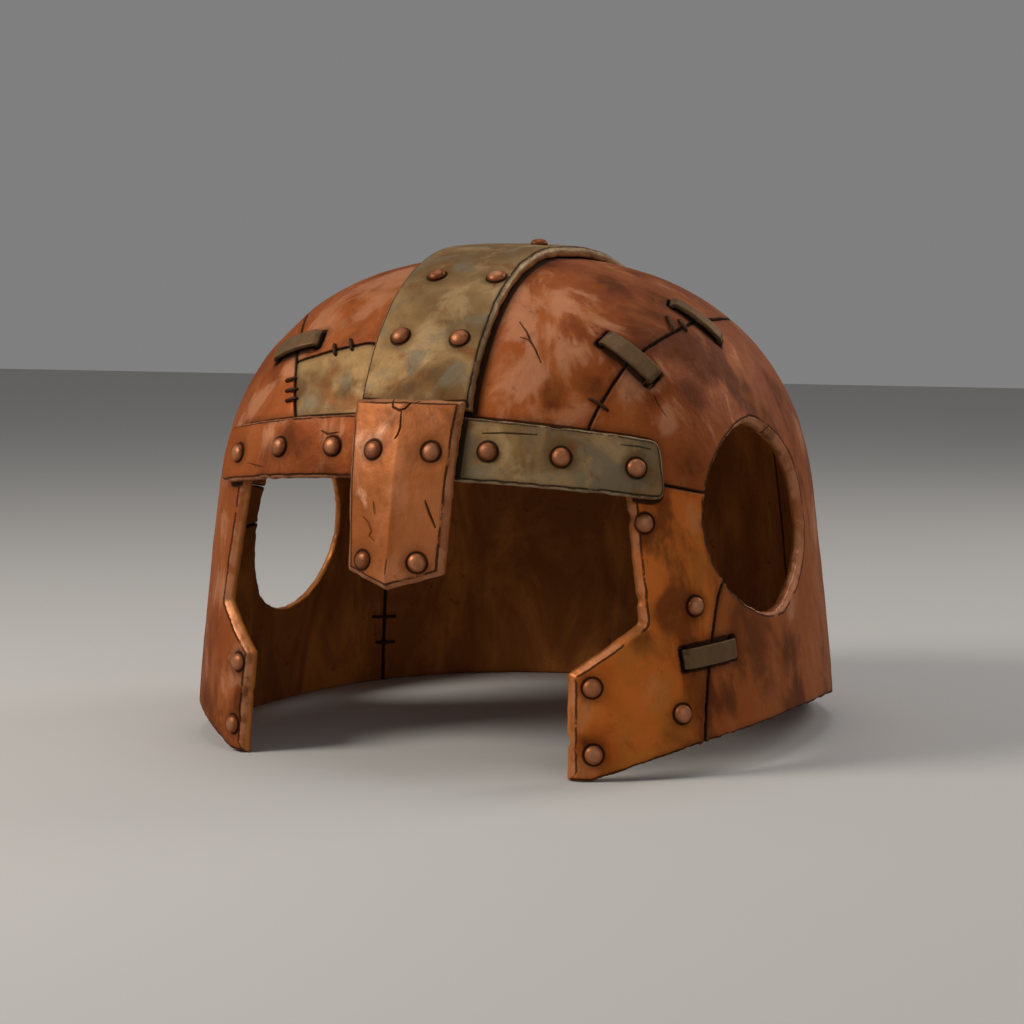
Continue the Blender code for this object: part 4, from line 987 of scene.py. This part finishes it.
def modelStitch():
    # a unit bar of round wire, standing up
    deselectAll()
    bpy.ops.mesh.primitive_circle_add(vertices=stitchShape["sides"], radius=1, fill_type="NGON")
    made = bpy.context.object
    bpy.ops.object.mode_set(mode="EDIT")
    bpy.ops.mesh.select_mode(type="FACE")
    bpy.ops.mesh.select_all(action="SELECT")
    for _ in range(stitchShape["steps"]):
        bpy.ops.mesh.extrude_region_move(TRANSFORM_OT_translate={"value": (0, 0, 1 / stitchShape["steps"])})
    bpy.ops.mesh.select_all(action="SELECT")
    bpy.ops.mesh.normals_make_consistent(inside=False)
    bpy.ops.object.mode_set(mode="OBJECT")
    return made


def wireLine(face, start, end, t):
    # the middle of a wire on the flat wall, with both ends bent into the plates
    turn = np.radians(start[0] + (end[0] - start[0]) * t)
    path = pathOf(start[1] + (end[1] - start[1]) * t)
    bent = 1 - ease(t, 0.0, stitchShape["bend"]) + ease(t, 1 - stitchShape["bend"], 1.0)
    lift = stitchShape["radius"] * 0.7 + stitchShape["arch"] * np.sin(math.pi * t) - stitchShape["sink"] * bent
    u, v = flatOf("wall", turn, path)
    if face == "outer":
        return np.stack([u, v, lift - stitchShape["base"]], -1)
    return np.stack([u, v, -(form["plateThickness"] + stitchShape["base"] + lift)], -1)


stitchModel = modelStitch()
barPoints = readPoints(stitchModel.data)
for number, (face, start, end) in enumerate(stitches):
    made = added(f"stitch-{number + 1}", stitchModel.data.copy())
    t = barPoints[:, 2]
    flat = wireLine(face, start, end, t)
    centre = raisePoints("wall", flat)
    drop = sunk(centre + shift)
    after, before = (wireLine(face, start, end, np.clip(t + step, 0, 1)) for step in (0.01, -0.01))
    ahead = raisePoints("wall", after) - raisePoints("wall", before)
    ahead /= np.linalg.norm(ahead, axis=1)[:, None]
    out = raisePoints("wall", flat + [0, 0, 0.001]) - centre
    side = np.cross(ahead, out)
    side /= np.linalg.norm(side, axis=1)[:, None]
    out = np.cross(side, ahead)
    thin = stitchShape["radius"] * (0.82 + 0.18 * np.sin(math.pi * t))
    ring = (side * barPoints[:, :1] + out * barPoints[:, 1:2]) * thin[:, None]
    writePoints(made.data, centre - out * drop[:, None] + ring + shift)
    selectOnly(made)
    bpy.ops.object.mode_set(mode="EDIT")
    bpy.ops.mesh.select_all(action="SELECT")
    bpy.ops.mesh.normals_make_consistent(inside=False)
    bpy.ops.object.mode_set(mode="OBJECT")
    bpy.ops.object.shade_smooth_by_angle(angle=smoothBelow)
    writeLayer(made.data, "foot", 0.35 + 0.65 * np.sin(math.pi * t))
    writeLayer(made.data, "age", np.full(len(t), 0.5))
    made.data.materials.append(metals["wire"])
    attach(made, "root")
bpy.data.objects.remove(stitchModel)
print("stitches:", len(stitches))

deselectAll()
studio = {"floor": (0.50, 0.49, 0.48), "floorSize": 6, "world": (0.82, 0.82, 0.82), "worldLevel": 0.26}
bpy.ops.mesh.primitive_plane_add(size=studio["floorSize"], location=(0, 0, 0))
floor = bpy.context.object
floor.name = "floor"
floorFinish = Finish("paleFloor")
mottle = floorFinish.noise(3, 3, 0.5)
paint = floorFinish.mixed(mottle, tuple(c * 0.97 for c in studio["floor"]), studio["floor"])
floor.data.materials.append(floorFinish.close(paint, 0.75 + mottle * 0.05, 0.0, mottle * 0.02, {"IOR": 1.4}))

world = bpy.data.worlds.new("studio")
world.use_nodes = True
world.node_tree.nodes["Background"].inputs[0].default_value = (*studio["world"], 1)
world.node_tree.nodes["Background"].inputs[1].default_value = studio["worldLevel"]
bpy.context.scene.world = world


def aimed(obj, place, aim):
    obj.location = place
    obj.rotation_euler = (Vector(aim) - Vector(place)).to_track_quat("-Z", "Y").to_euler()


lamps = [  # name, place, aim, size, watts, colour
    ("key", (-0.72, -0.70, 0.80), (0, 0, 0.11), 0.5, 11, (1.0, 0.93, 0.84)),
    ("fill", (1.1, -0.7, 0.45), (0, 0, 0.09), 0.9, 1.8, (1.0, 0.97, 0.93)),
    ("rim", (0.7, 0.9, 0.8), (0, 0, 0.12), 0.6, 4.5, (1.0, 0.96, 0.90)),
    ("top", (0.0, 0.1, 1.2), (0, 0, 0.1), 0.8, 3.05, (1.0, 0.98, 0.95)),
]
for name, place, aim, size, watts, tone in lamps:
    light = bpy.data.lights.new(name, "AREA")
    light.shape, light.size, light.energy, light.color = "DISK", size, watts, tone
    aimed(added(name, light), place, aim)

# the photograph's own view, solved from points of the helmet
view = {"place": (0.44145, -1.002579, 0.18995), "aim": (0.001438, -0.014286, 0.088738), "lens": 93.86, "sensor": 36.0}
lens = bpy.data.cameras.new("view")
lens.lens, lens.sensor_width = view["lens"], view["sensor"]
lens.clip_start, lens.clip_end = 0.05, 20
camera = added("view", lens)
aimed(camera, view["place"], view["aim"])
bpy.context.scene.camera = camera
bpy.context.scene.view_settings.view_transform = "Standard"
